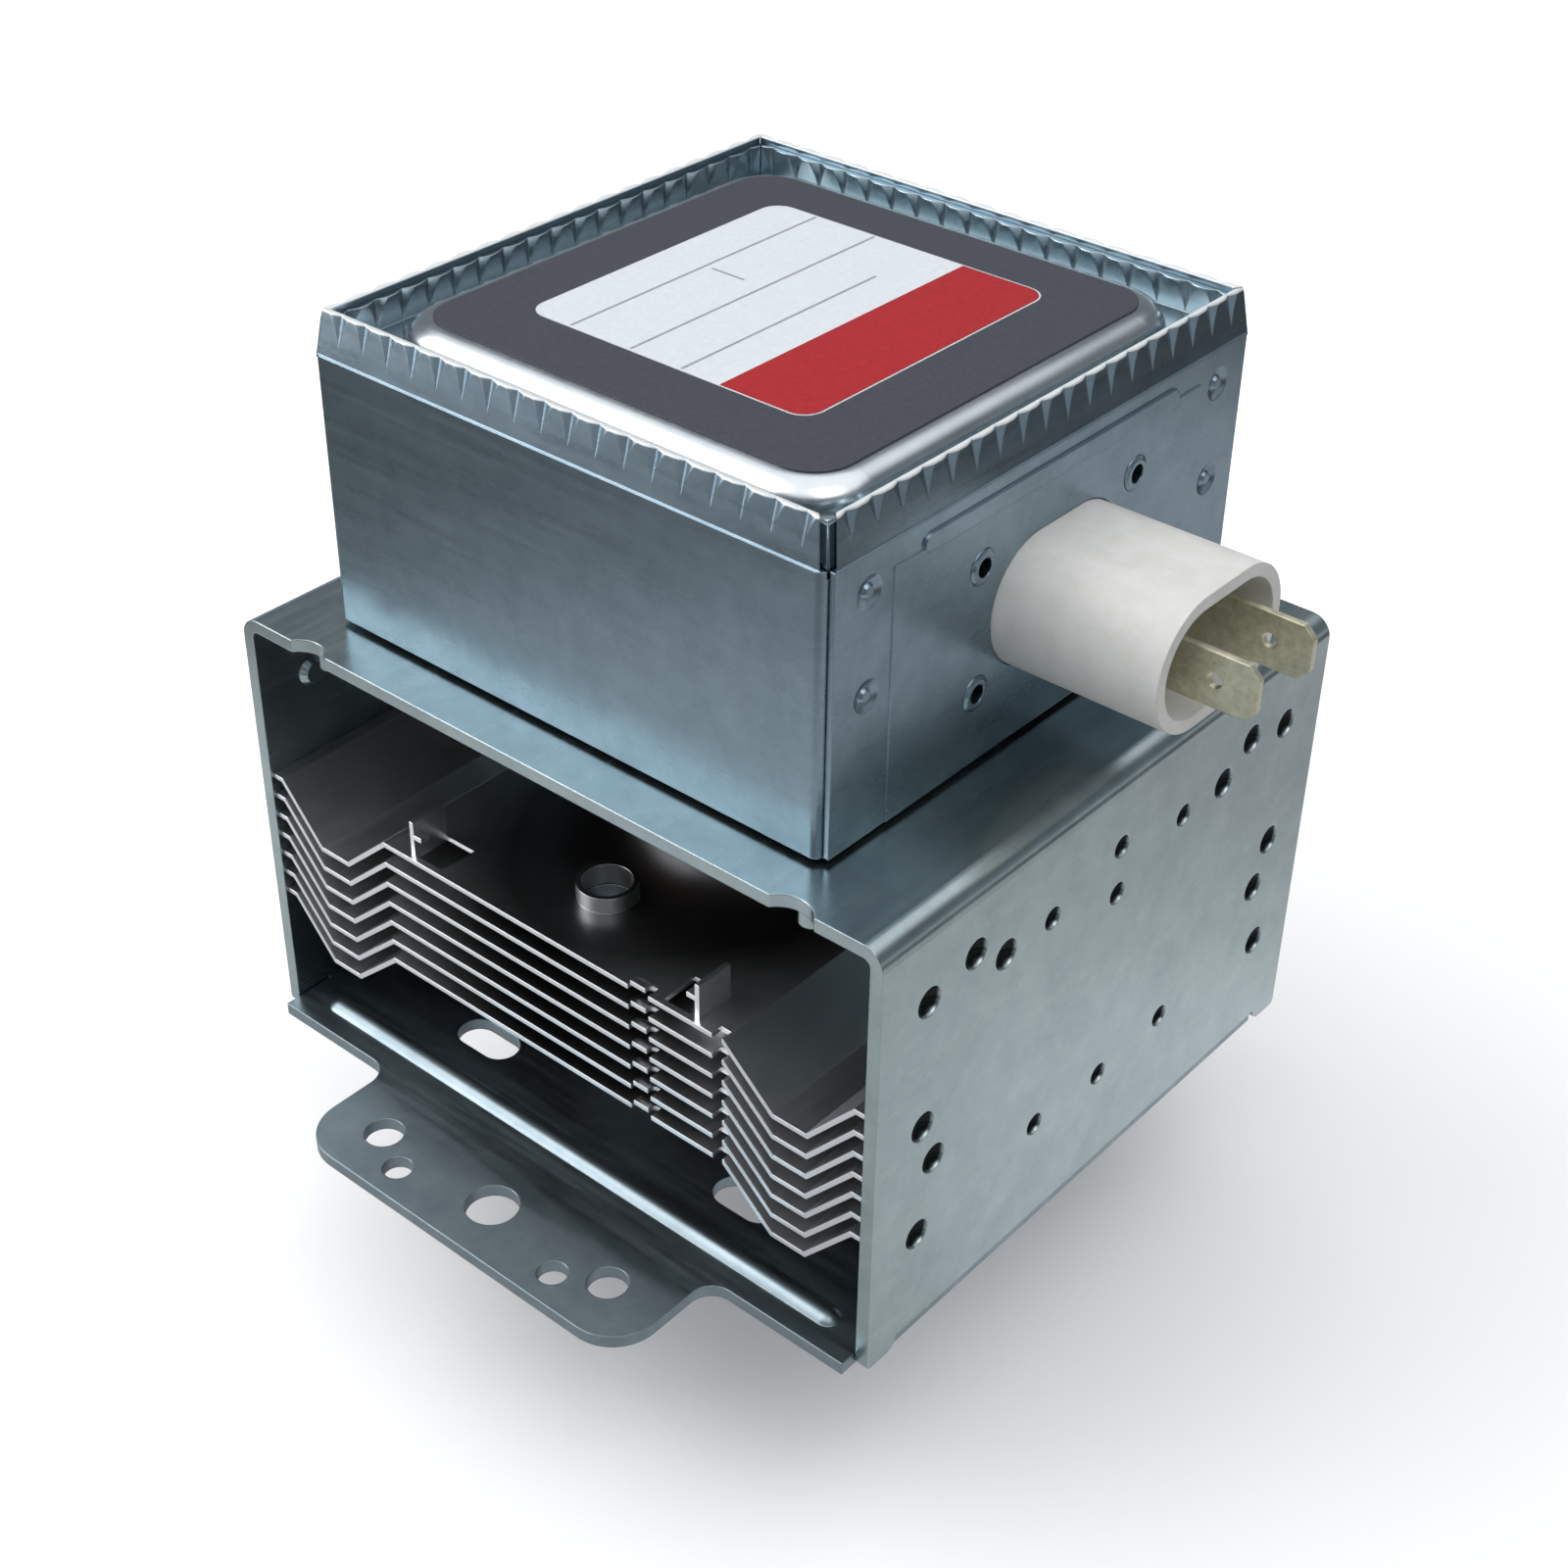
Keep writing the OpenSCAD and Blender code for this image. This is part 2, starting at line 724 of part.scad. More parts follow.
module mounting_plate() {
    bead_r = (bead_w * bead_w / 4 + bead_rise * bead_rise) / (2 * bead_rise);
    color("slategray")
        difference() {
            union() {
                linear_extrude(plate_t) {
                    square([2 * (wall_in - loose_fit), 2 * plate_y], center = true);
                    square([2 * (wall_x - tongue_inset), 2 * (yoke_y - lobe_w - loose_fit)], center = true);
                    for (e = [0, 180])
                        rotate(e)
                            ear_outline();
                }
                for (e = [-1, 1])
                    translate([0, e * (plate_y - bead_inset), plate_t + bead_rise - bead_r])
                        bead_bar(bead_r, bead_l - 2 * bead_r);
            }
            // hollow under each stiffening bead
            for (e = [-1, 1])
                translate([0, e * (plate_y - bead_inset), 0])
                    bead_bar(bead_w / 2 - bead_thin, bead_l - 2 * bead_r);
            // everything of the beads that would stand below the mounting face
            translate([0, 0, -bead_r])
                cube([yoke_w, 2 * plate_y, 2 * bead_r], center = true);
            translate([0, 0, -over])
                cylinder(r = neck_opening_r, h = plate_t + 2 * over);
            // shallow seat of the woven gasket
            translate([0, 0, -over])
                cylinder(r = gasket_seat_r, h = gasket_seat_depth + over);
            for (e = [0, 180])
                rotate(e) {
                    for (s = [-1, 1]) {
                        translate([s * fixing_spacing_x / 2, ear_y - fixing_edge, -over])
                            cylinder(r = fixing_hole_r, h = plate_t + 2 * over);
                        translate([s * pilot_spacing_x / 2, ear_y - pilot_edge, -over])
                            cylinder(r = pilot_hole_r, h = plate_t + 2 * over);
                        translate([s * slot_x, slot_y, -over])
                            linear_extrude(plate_t + 2 * over)
                                stadium(slot_l, slot_w);
                    }
                    translate([0, ear_y - fixing_edge, -over])
                        cylinder(r = locating_hole_r, h = plate_t + 2 * over);
                }
        }
}

// Magnets and vacuum tube

module lower_magnet() {
    color("dimgray")
        ring(magnet_r, magnet_bore_r, plate_t, plate_t + magnet_h);
}

module upper_magnet() {
    color("dimgray")
        ring(magnet_r, magnet_bore_r, upper_magnet_z, under_top);
}

module anode_cylinder() {
    color("peru")
        ring(anode_r, anode_in_r, anode_z0, anode_z1);
}

// Upright profile turned about the axis: a neck with a flange at each end
module neck_profile(z_flange, z_end) {
    s = z_end > z_flange ? 1 : -1;
    translate([neck_r - shell_t, min(z_flange, z_end)])
        square([shell_t, abs(z_end - z_flange)]);
    translate([neck_r - shell_t, min(z_flange, z_flange + s * shell_t)])
        square([anode_r - neck_r + shell_t, shell_t]);
    translate([shell_seat_r, min(z_end, z_end - s * shell_t)])
        square([neck_r - shell_seat_r, shell_t]);
}

module upper_shell() {
    color("silver")
        rotate_extrude()
            neck_profile(anode_z1, neck_top_z);
}

module lower_shell() {
    color("silver")
        rotate_extrude()
            neck_profile(anode_z0, -neck_drop);
}

// Funnel that carries the field to the vanes: rim on the anode's end, flat middle with a hole
module pole_piece() {
    rotate_extrude()
        polygon(folded([
            [pole_hole_r, pole_depth],
            [pole_flat_r, pole_depth],
            [anode_in_r - pole_rim_w, 0],
            [anode_in_r - fit, 0]
        ], pole_t));
}

module lower_pole_piece() {
    color("gray")
        difference() {
            translate([0, 0, anode_z0])
                pole_piece();
            translate([antenna_lead_x, 0, anode_z0 - over])
                cylinder(r = lead_hole_r, h = pole_depth + pole_t + 2 * over);
        }
}

module upper_pole_piece() {
    color("gray")
        translate([0, 0, anode_z1])
            mirror([0, 0, 1])
                pole_piece();
}

// Vanes: each is grooved for the straps, which touch every second vane in turn
module vane(k) {
    difference() {
        translate([vane_tip_r, -vane_t / 2, anode_mid - vane_h / 2])
            cube([vane_end - vane_tip_r, vane_t, vane_h]);
        for (e = [-1, 1])
            translate([0, 0, anode_mid]) {
                groove_in = strap_rs[0] - strap_gap;
                groove_out = strap_rs[1] + strap_w + strap_gap;
                ring(groove_out, groove_in,
                     min(e * (vane_h / 2 - strap_h), e * vane_h),
                     max(e * (vane_h / 2 - strap_h), e * vane_h));
                free = strap_rs[k % 2];
                ring(free + strap_w + strap_gap, free - strap_gap,
                     min(e * (vane_h / 2 - strap_h - strap_gap), e * vane_h),
                     max(e * (vane_h / 2 - strap_h - strap_gap), e * vane_h));
            }
    }
}

module anode_vanes() {
    color("peru")
        for (k = [0 : vane_count - 1])
            rotate(k * 360 / vane_count)
                vane(k);
}

module straps(z0) {
    for (r = strap_rs)
        ring(r + strap_w, r, z0, z0 + strap_h);
}

module upper_straps() {
    color("chocolate")
        straps(anode_mid + vane_h / 2 - strap_h);
}

module lower_straps() {
    color("chocolate")
        straps(anode_mid - vane_h / 2);
}

module filament() {
    steps = 12;
    h = filament_h - 2 * filament_wire_r - 2 * fit;
    path = [
        for (i = [0 : filament_turns * steps])
        let (a = 360 * i / steps, f = i / (filament_turns * steps))
        [filament_r * cos(a), filament_r * sin(a), anode_mid + (f - 0.5) * h]
    ];
    color("darkgray")
        wire(path, filament_wire_r, [0, 0, 1]);
}

module lower_end_hat() {
    z1 = anode_mid - filament_h / 2;
    color("gray")
        translate([0, 0, z1 - hat_t])
            cylinder(r = hat_r, h = hat_t);
}

module upper_end_hat() {
    z0 = anode_mid + filament_h / 2;
    color("gray")
        ring(hat_r, lead_r + 2 * loose_fit, z0, z0 + hat_t);
}

module centre_lead() {
    z0 = anode_mid - filament_h / 2;
    color("darkgray")
        translate([0, 0, z0])
            cylinder(r = lead_r, h = terminal_z1 - z0);
}

module side_lead() {
    z0 = anode_mid + filament_h / 2 + hat_t;
    color("darkgray")
        translate([0, side_lead_y, z0])
            cylinder(r = lead_r, h = terminal_z1 - z0);
}

module cathode_ceramic() {
    color("white")
        difference() {
            translate([0, 0, neck_top_z])
                cylinder(r = stem_r, h = stem_h);
            for (y = [0, side_lead_y])
                translate([0, y, neck_top_z - over])
                    cylinder(r = lead_r + fit, h = stem_h + 2 * over);
        }
}

// Terminal plate on top of the cathode ceramic, from y0 to y1
module terminal(y0, y1, lead_y) {
    color("tan")
        difference() {
            translate([choke_x0 - terminal_edge, y0, stem_z1])
                cube([terminal_edge + lead_r + terminal_wall - choke_x0, y1 - y0, terminal_t]);
            translate([0, lead_y, stem_z1 - over])
                cylinder(r = lead_r + fit, h = terminal_t + 2 * over);
        }
}

module centre_terminal() {
    terminal(tab_ys[0] - choke_r - terminal_edge, side_lead_y / 2 - terminal_gap / 2, 0);
}

module side_terminal() {
    terminal(side_lead_y / 2 + terminal_gap / 2, tab_ys[1] - choke_r + terminal_edge, side_lead_y);
}

module antenna_lead() {
    path = concat(
        [[antenna_lead_x, 0, anode_mid - vane_h / 2 - fit]],
        [for (b = antenna_bends) [b[0], 0, anode_z0 + b[1]]],
        [[0, 0, ceramic_z0 - exhaust_l + exhaust_floor + antenna_tip_gap]]
    );
    color("peru")
        wire(path, antenna_lead_r, [0, 1, 0], 10);
}

module antenna_ceramic() {
    color("mistyrose")
        ring(antenna_ceramic_r, ceramic_in_r, ceramic_z0, -neck_drop);
}

// Copper tube that seals the tube after pumping: a flange on the ceramic, a bore and a pinched end
module exhaust_tube() {
    end_z = ceramic_z0 - exhaust_l;
    color("peru")
        difference() {
            union() {
                translate([0, 0, ceramic_z0 - exhaust_flange_t])
                    cylinder(r = cap_r - cap_t - fit, h = exhaust_flange_t);
                translate([0, 0, end_z])
                    cylinder(r = exhaust_r, h = exhaust_l - exhaust_flange_t);
                translate([-pinch_w / 2, -pinch_t / 2, end_z - pinch_h])
                    cube([pinch_w, pinch_t, pinch_h]);
            }
            translate([0, 0, end_z + exhaust_floor])
                cylinder(r = exhaust_r - exhaust_wall, h = exhaust_l);
        }
}

module cap_section(r, h, edge) {
    translate([0, edge])
        square([r, h - edge]);
    square([r - edge, h]);
    intersection() {
        translate([r - edge, edge])
            circle(edge);
        square([r, h]);
    }
}

module antenna_cap() {
    color("lightgray")
        translate([0, 0, cap_z0])
            difference() {
                rotate_extrude()
                    cap_section(cap_r, cap_h, cap_edge_r);
                translate([0, 0, cap_t])
                    rotate_extrude()
                        cap_section(cap_r - cap_t, cap_h, cap_edge_r - cap_t);
            }
}

module rf_gasket() {
    color("darkgray")
        translate([0, 0, gasket_seat_depth - gasket_h / 2])
            rotate_extrude()
                translate([gasket_mid_r, 0])
                    circle(d = gasket_h);
}

// Cooling fins: one pressing, the same turned half round

function fin_z(i) = anode_z0 + fin_first + i * fin_pitch;

module fin_sheet() {
    end = wall_in - fit;
    crest = end - lip_w;
    slope = fin_flat_w / 2 + fin_slope_w;
    half = [
        [fin_flat_w / 2, 0],
        [slope, -fin_drop],
        [slope + valley_w, -fin_drop],
        [crest, shoulder_rise],
        [end, shoulder_rise]
    ];
    other = [for (i = [len(half) - 1 : -1 : 0]) [-half[i][0], half[i][1]]];
    rotate([90, 0, 0])
        linear_extrude(2 * fin_y, center = true)
            polygon(folded(concat(other, half), fin_t));
}

// Upright tabs of the top fin, each with a short lip bent towards the middle
module fin_tabs() {
    for (s = [-1, 1])
        translate([s * (fin_tab_x + fin_t / 2), fin_tab_edge - fin_y, 0]) {
            translate([-fin_t / 2, 0, 0])
                cube([fin_t, fin_tab_l, fin_t + top_tab_h]);
            translate([min(0, -s * fin_tab_lip_l), 0, fin_t + top_tab_h / 2])
                cube([fin_tab_lip_l, fin_tab_lip_w, fin_t]);
        }
}

// Openings that the upright tabs leave in the sheet
module fin_tab_openings() {
    for (s = [-1, 1])
        translate([s * (fin_tab_x - top_tab_h / 2), fin_tab_edge + fin_tab_l / 2 - fin_y, 0])
            cube([top_tab_h, fin_tab_l, 4 * fin_t], center = true);
}

// Narrow tongue that stands up at the edge
module fin_tongue() {
    translate([tongue_x - tongue_w / 2, -fin_y, 0])
        rotate([90, 0, 90])
            linear_extrude(tongue_w)
                polygon(folded([
                    [0, tongue_rise],
                    [tongue_crest, tongue_rise],
                    [tongue_l, 0],
                    [tongue_l + tongue_root, 0]
                ], fin_t));
}

module cooling_fin(i) {
    top = i == fin_count - 1;
    color("gainsboro")
        translate([0, 0, fin_z(i)]) {
            difference() {
                union() {
                    fin_sheet();
                    cylinder(r = anode_r + fit + fin_t, h = collar_h);
                    for (e = [-1, 1])
                        translate([0, e * collar_y, 0])
                            cylinder(r = collar_r, h = collar_h);
                }
                translate([0, 0, -over])
                    cylinder(r = anode_r + fit, h = collar_h + 2 * over);
                for (turn = [0, 180])
                    rotate(turn) {
                        translate([0, -collar_y, -over])
                            cylinder(r = collar_r - fin_t, h = collar_h + 2 * over);
                        if (top)
                            fin_tab_openings();
                        translate([tongue_x - tongue_w / 2 - tongue_gap, -fin_y - over, -over])
                            cube([tongue_w + 2 * tongue_gap, tongue_l + over, fin_t + 2 * over]);
                        translate([fin_flat_w / 2 - relief_w, -fin_y - over, -fin_drop])
                            cube([relief_w, relief_l + over, 2 * fin_drop]);
                    }
            }
            for (turn = [0, 180])
                rotate(turn) {
                    if (top)
                        fin_tabs();
                    fin_tongue();
                }
        }
}

// Filter box

module box_plan(inset) {
    translate([(box_x0 + box_in_x1) / 2, box_mid[1]])
        round_rect(box_in_x1 - box_x0 - 2 * inset, box_d - 2 * inset, box_fold_r - inset);
}

module filter_box() {
    color("lightsteelblue")
        difference() {
            union() {
                translate([0, 0, floor_z])
                    linear_extrude(crease_z - floor_z)
                        box_plan(0);
                // seat drawn down to the yoke round the cathode neck
                translate([0, 0, yoke_h])
                    cylinder(r = pad_r, h = box_lift + box_t);
                front_rim()
                    rim_side(box_w, -rim_root, rim_z1, crease_step, 1, corner_seam, corner_slot);
                back_rim()
                    rim_side(box_w, -rim_root, rim_z1, crease_step, 1, slit, corner_seam);
                far_rim()
                    rim_side(box_d, -rim_root, rim_z1, crease_step, 1, corner_seam, corner_seam);
            }
            // inside of the box
            translate([0, 0, floor_z + box_t])
                linear_extrude(crease_z - floor_z - box_t + lid_drop)
                    box_plan(box_t);
            // window between the two seam flanges, which stop below the lid
            translate([box_in_x1 - 2 * box_t, box_y0 + seam_w, floor_z + box_t])
                cube([3 * box_t, box_d - 2 * seam_w, box_h]);
            translate([box_in_x1 - 2 * box_t, box_y0 + box_t, crease_z - flange_drop])
                cube([3 * box_t, box_d - 2 * box_t, rim_root + flange_drop]);
            translate([0, 0, yoke_h + box_t])
                cylinder(r = pad_r - box_t, h = box_lift + over);
            translate([0, 0, yoke_h - over])
                cylinder(r = neck_opening_r, h = box_t + 2 * over);
            // holes of the pressed joints
            at_presses()
                rotate([0, -90, 0])
                    cylinder(r = press_r + loose_fit, h = 3 * box_t);
        }
}

module connector_plate() {
    raised_w = box_d - 2 * emboss_edge;
    raised_h = crease_z - emboss_drop - floor_z;
    color("lightsteelblue")
        union() {
            difference() {
                union() {
                    translate([box_x1 - box_t, box_y0 + plate_edge, floor_z])
                        cube([box_t, box_d - 2 * plate_edge, crease_z - floor_z]);
                    translate([box_x1 - box_t + emboss, box_y0 + emboss_edge, floor_z])
                        cube([box_t, raised_w, raised_h]);
                    connector_rim()
                        rim_side(box_d, -rim_root, rim_z1, crease_step, 1, corner_slot, slit);
                    // inner sides of the pressed joints
                    at_presses()
                        intersection() {
                            translate([-box_t, 0, 0])
                                dimple(press_r, press_depth);
                            translate([-2 * box_t, 0, 0])
                                cube([3 * box_t, 4 * press_r, 4 * press_r], center = true);
                        }
                    // long bead under the crease
                    along_x(box_x1 - box_t / 2, box_x1 + rim_bead_out)
                        translate([box_mid[1], crease_z - rim_bead_drop - rim_bead_h / 2])
                            stadium(rim_bead_l, rim_bead_h);
                }
                translate([box_x1 - box_t - over, box_y0 + emboss_edge + box_t, floor_z - over])
                    cube([over + emboss, raised_w - 2 * box_t, raised_h - box_t + over]);
                at_presses()
                    dimple(press_r, press_depth);
                along_x(box_x1 - box_t - over, plate_out_x + over)
                    on_connector()
                        stadium(conn_w + 2 * loose_fit, conn_h + 2 * loose_fit);
                at_eyelets()
                    translate([0, 0, box_x1 - box_t - over])
                        cylinder(r = eyelet_r + fit, h = box_t + emboss + 2 * over);
            }
            // button left standing in the middle of each pressed joint
            at_presses()
                translate([-press_depth - box_t / 4, 0, 0])
                    rotate([0, 90, 0])
                        cylinder(r1 = button_r, r2 = button_top_r, h = press_depth + box_t / 4 + button_out);
        }
}

module box_lid() {
    z0 = -lid_drop;
    z1 = rim_z1 - lid_rim_drop;
    edge = lid_seat + box_t / 2;
    color("silver")
        difference() {
            union() {
                translate([box_mid[0], box_mid[1], lid_floor_z])
                    linear_extrude(box_t)
                        square([box_w - 2 * edge, box_d - 2 * edge], center = true);
                translate([box_mid[0], box_mid[1], lid_floor_z])
                    rolled_block(lid_half_x, lid_half_y, lid_corner_r, lid_roll_r, lid_top_z - lid_floor_z);
                front_rim()
                    rim_side(box_w, z0, z1, lid_seat, -1, corner_seam, corner_seam);
                connector_rim()
                    rim_side(box_d, z0, z1, lid_seat, -1, corner_seam, corner_seam);
                back_rim()
                    rim_side(box_w, z0, z1, lid_seat, -1, corner_seam, corner_seam);
                far_rim()
                    rim_side(box_d, z0, z1, lid_seat, -1, corner_seam, corner_seam);
            }
            translate([box_mid[0], box_mid[1], lid_floor_z - over])
                rolled_block(lid_half_x - box_t, lid_half_y - box_t, lid_corner_r - box_t,
                             lid_roll_r - box_t, lid_top_z - lid_floor_z - box_t + over);
        }
}

module label_sheet() {
    color("darkslategray")
        translate([box_mid[0], box_mid[1], lid_top_z])
            linear_extrude(label_t)
                round_rect(label_w, label_d, label_corner_r);
}

// Connector and feedthrough capacitor

module connector_housing() {
    color("ivory")
        difference() {
            along_x(flange_out_x, mouth_x)
                on_connector()
                    stadium(conn_w, conn_h);
            along_x(mouth_floor_x, mouth_x + over)
                on_connector()
                    stadium(conn_w - 2 * conn_wall, conn_h - 2 * conn_wall);
            along_x(flange_out_x - over, ceramic_x1)
                on_connector()
                    stadium(ceramic_w + 2 * fit, ceramic_h + 2 * fit);
            for (y = tab_ys)
                translate([(tab_root_x + mouth_floor_x) / 2, y, conn_z])
                    cube([mouth_floor_t + 2 * over, tab_t + 2 * fit, tab_w + 2 * fit], center = true);
        }
}

// Earthed plate with four eyelets that are spread over the outside of the connector plate
module capacitor_flange() {
    color("silver")
        difference() {
            union() {
                along_x(flange_in_x, flange_out_x)
                    on_connector()
                        round_rect(flange_w, flange_h, flange_corner_r);
                at_eyelets() {
                    translate([0, 0, flange_in_x])
                        cylinder(r = eyelet_r, h = plate_out_x + eyelet_head_t - flange_in_x);
                    translate([0, 0, plate_out_x])
                        cylinder(r1 = eyelet_head_r, r2 = eyelet_r, h = eyelet_head_t);
                }
            }
            along_x(flange_in_x - over, flange_out_x + over)
                on_connector()
                    stadium(ceramic_w + 2 * fit, ceramic_h + 2 * fit);
            at_eyelets()
                translate([0, 0, flange_in_x - over])
                    cylinder(r = eyelet_r - eyelet_wall, h = plate_out_x - flange_in_x + 3 * over);
        }
}

module capacitor_ceramic() {
    color("khaki")
        difference() {
            along_x(ceramic_x0, ceramic_x1)
                on_connector()
                    stadium(ceramic_w, ceramic_h);
            for (y = tab_ys)
                translate([ceramic_x0 - over, y, conn_z])
                    rotate([0, 90, 0])
                        cylinder(r = rod_r + fit, h = ceramic_l + 2 * over);
        }
}

module capacitor_case() {
    color("ivory")
        difference() {
            along_x(case_x0, flange_in_x)
                on_connector()
                    stadium(conn_w, conn_h);
            along_x(ceramic_x0 - fit, flange_in_x + over)
                on_connector()
                    stadium(ceramic_w + 2 * fit, ceramic_h + 2 * fit);
            for (y = tab_ys)
                translate([case_x0 - over, y, conn_z])
                    rotate([0, 90, 0])
                        cylinder(r = rod_r + fit, h = case_end_t + 2 * over);
        }
}

// Flat tab with a hole and a chamfered tip
module tab(y) {
    half = tab_w / 2;
    color("darkkhaki")
        difference() {
            translate([0, y + tab_t / 2, conn_z])
                rotate([90, 0, 0])
                    linear_extrude(tab_t)
                        polygon([
                            [tab_root_x, -half],
                            [tab_tip_x - tab_chamfer, -half],
                            [tab_tip_x, -half + tab_chamfer],
                            [tab_tip_x, half - tab_chamfer],
                            [tab_tip_x - tab_chamfer, half],
                            [tab_root_x, half]
                        ]);
            translate([tab_hole_x, y, conn_z])
                rotate([90, 0, 0])
                    cylinder(r = tab_hole_r, h = tab_t + 2 * over, center = true);
        }
}

module front_tab() {
    tab(tab_ys[0]);
}

module back_tab() {
    tab(tab_ys[1]);
}

module conductor(y) {
    color("darkkhaki")
        translate([rod_x0, y, conn_z])
            rotate([0, 90, 0])
                cylinder(r = rod_r, h = tab_root_x - rod_x0);
}

module front_conductor() {
    conductor(tab_ys[0]);
}

module back_conductor() {
    conductor(tab_ys[1]);
}

// Choke coil: up from its terminal, round the core, then along the top of the conductor
module choke_coil(y) {
    steps = 12;
    rest_r = rod_r + choke_wire_r + fit;
    foot = [
        [choke_x0, y - choke_r, terminal_z1 + fit],
        [choke_x0, y - choke_r, conn_z - choke_foot_drop]
    ];
    turns = [
        for (i = [0 : choke_turns * steps - 3 * steps / 4])
        let (a = 180 - 360 * i / steps)
        [choke_x0 + choke_pitch * i / steps, y + choke_r * cos(a), conn_z + choke_r * sin(a)]
    ];
    tail = [
        [rod_x0 - choke_tail_bend, y, conn_z + (choke_r + rest_r) / 2],
        [rod_x0 + choke_tail_bend, y, conn_z + rest_r],
        [rod_x0 + choke_tail_l, y, conn_z + rest_r]
    ];
    color("chocolate")
        wire(concat(foot, turns, tail), choke_wire_r, [1, 0, 0]);
}

module front_choke_coil() {
    choke_coil(tab_ys[0]);
}

module back_choke_coil() {
    choke_coil(tab_ys[1]);
}

module choke_core(y) {
    color("dimgray")
        translate([choke_x0 - core_end, y, conn_z])
            rotate([0, 90, 0])
                cylinder(r = core_r, h = choke_x1 - choke_x0 + core_end);
}

module front_choke_core() {
    choke_core(tab_ys[0]);
}

module back_choke_core() {
    choke_core(tab_ys[1]);
}

yoke();
mounting_plate();
lower_magnet();
upper_magnet();
anode_cylinder();
anode_vanes();
upper_straps();
lower_straps();
upper_pole_piece();
lower_pole_piece();
upper_shell();
lower_shell();
filament();
upper_end_hat();
lower_end_hat();
centre_lead();
side_lead();
cathode_ceramic();
centre_terminal();
side_terminal();
antenna_lead();
antenna_ceramic();
exhaust_tube();
antenna_cap();
rf_gasket();
filter_box();
connector_plate();
box_lid();
label_sheet();
connector_housing();
capacitor_flange();
capacitor_ceramic();
capacitor_case();
front_tab();
back_tab();
front_conductor();
back_conductor();
front_choke_coil();
back_choke_coil();
front_choke_core();
back_choke_core();
for (i = [0 : fin_count - 1])
    cooling_fin(i);
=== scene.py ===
# %% [markdown]
# # A microwave oven's magnetron, dressed for its portrait
# The part arrives as finished solids: a folded yoke, ring magnets, fins, a crimped box and a connector.
# This lesson keeps those solids where they are and gives each one the finish of its real material.
# A few things that are too fine for the solids, such as print and woven wire, are made here with numpy.

import bpy
import numpy as np
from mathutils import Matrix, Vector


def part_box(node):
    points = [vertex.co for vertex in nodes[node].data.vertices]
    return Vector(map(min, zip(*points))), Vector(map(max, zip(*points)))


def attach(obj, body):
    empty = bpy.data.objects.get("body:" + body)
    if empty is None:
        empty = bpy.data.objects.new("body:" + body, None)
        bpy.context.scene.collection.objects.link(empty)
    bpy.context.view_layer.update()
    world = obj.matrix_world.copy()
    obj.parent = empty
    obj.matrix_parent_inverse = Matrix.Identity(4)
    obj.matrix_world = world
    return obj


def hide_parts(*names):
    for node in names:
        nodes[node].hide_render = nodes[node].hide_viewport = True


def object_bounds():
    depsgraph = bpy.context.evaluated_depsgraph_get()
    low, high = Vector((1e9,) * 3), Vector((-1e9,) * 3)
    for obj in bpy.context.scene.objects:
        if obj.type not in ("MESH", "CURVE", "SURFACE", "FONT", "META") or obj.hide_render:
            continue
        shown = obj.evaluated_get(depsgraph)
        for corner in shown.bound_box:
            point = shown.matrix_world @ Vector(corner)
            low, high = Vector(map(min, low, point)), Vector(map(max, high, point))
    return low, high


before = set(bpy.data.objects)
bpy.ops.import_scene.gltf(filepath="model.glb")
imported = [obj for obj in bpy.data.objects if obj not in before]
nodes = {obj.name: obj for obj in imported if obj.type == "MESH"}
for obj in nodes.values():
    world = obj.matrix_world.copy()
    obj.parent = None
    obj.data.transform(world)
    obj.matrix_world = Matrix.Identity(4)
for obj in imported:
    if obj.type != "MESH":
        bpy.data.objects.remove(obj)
cad_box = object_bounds()
MM = 0.001
print("nodes:", len(nodes), "box in mm:", [[round(v / MM, 1) for v in corner] for corner in cad_box])

# %% [markdown]
# ## Camera
# A camera can be set by eye, by three angles, or by the measured directions of the picture's own axes.
# The last is exact: right, down and forward are unit vectors in the part's frame, found by matching
# corners of the yoke and the box, and the distance follows from them. Nothing is shifted.

# %% Camera at the photograph's viewpoint
PICTURE_PX = 1600
FOCAL_PX = 2539.07
SENSOR_MM = 36
NEAREST, FARTHEST = 0.01, 20
RIGHT = np.array((0.75843, 0.65167, 0.01049))
DOWN = np.array((0.37801, -0.42671, -0.82160))
FORWARD = np.array((-0.53094, 0.62709, -0.56996))
EYE = np.array((159.656, -189.007, 205.586)) * MM


def set_up(made, right, up, back, place):
    """Stands an object at place with its own X, Y and Z along right, up and back: the four are the columns
    of one matrix. Blender reads a plain list column by column, so the matrix is handed over transposed."""
    turn = np.eye(4)
    turn[:3, 0], turn[:3, 1], turn[:3, 2], turn[:3, 3] = right, up, back, place
    made.matrix_world = turn.T.tolist()
    bpy.context.scene.collection.objects.link(made)


lens = bpy.data.cameras.new("portrait")
lens.sensor_width = SENSOR_MM
lens.lens = FOCAL_PX / PICTURE_PX * SENSOR_MM
lens.clip_start = NEAREST
lens.clip_end = FARTHEST
camera = bpy.data.objects.new("portrait", lens)
set_up(camera, RIGHT, -DOWN, -FORWARD, EYE)
bpy.context.scene.camera = camera
bpy.context.scene.view_settings.view_transform = "Standard"
print("lens in mm:", round(lens.lens, 2))

# %% [markdown]
# ## Colours and nodes
# Colours are written as the hex values that a paint or print shop would give, and one function turns them
# into the linear numbers that light needs. One more function adds a node, fills its fields and joins its
# sockets.

# %% Helpers for colour and nodes


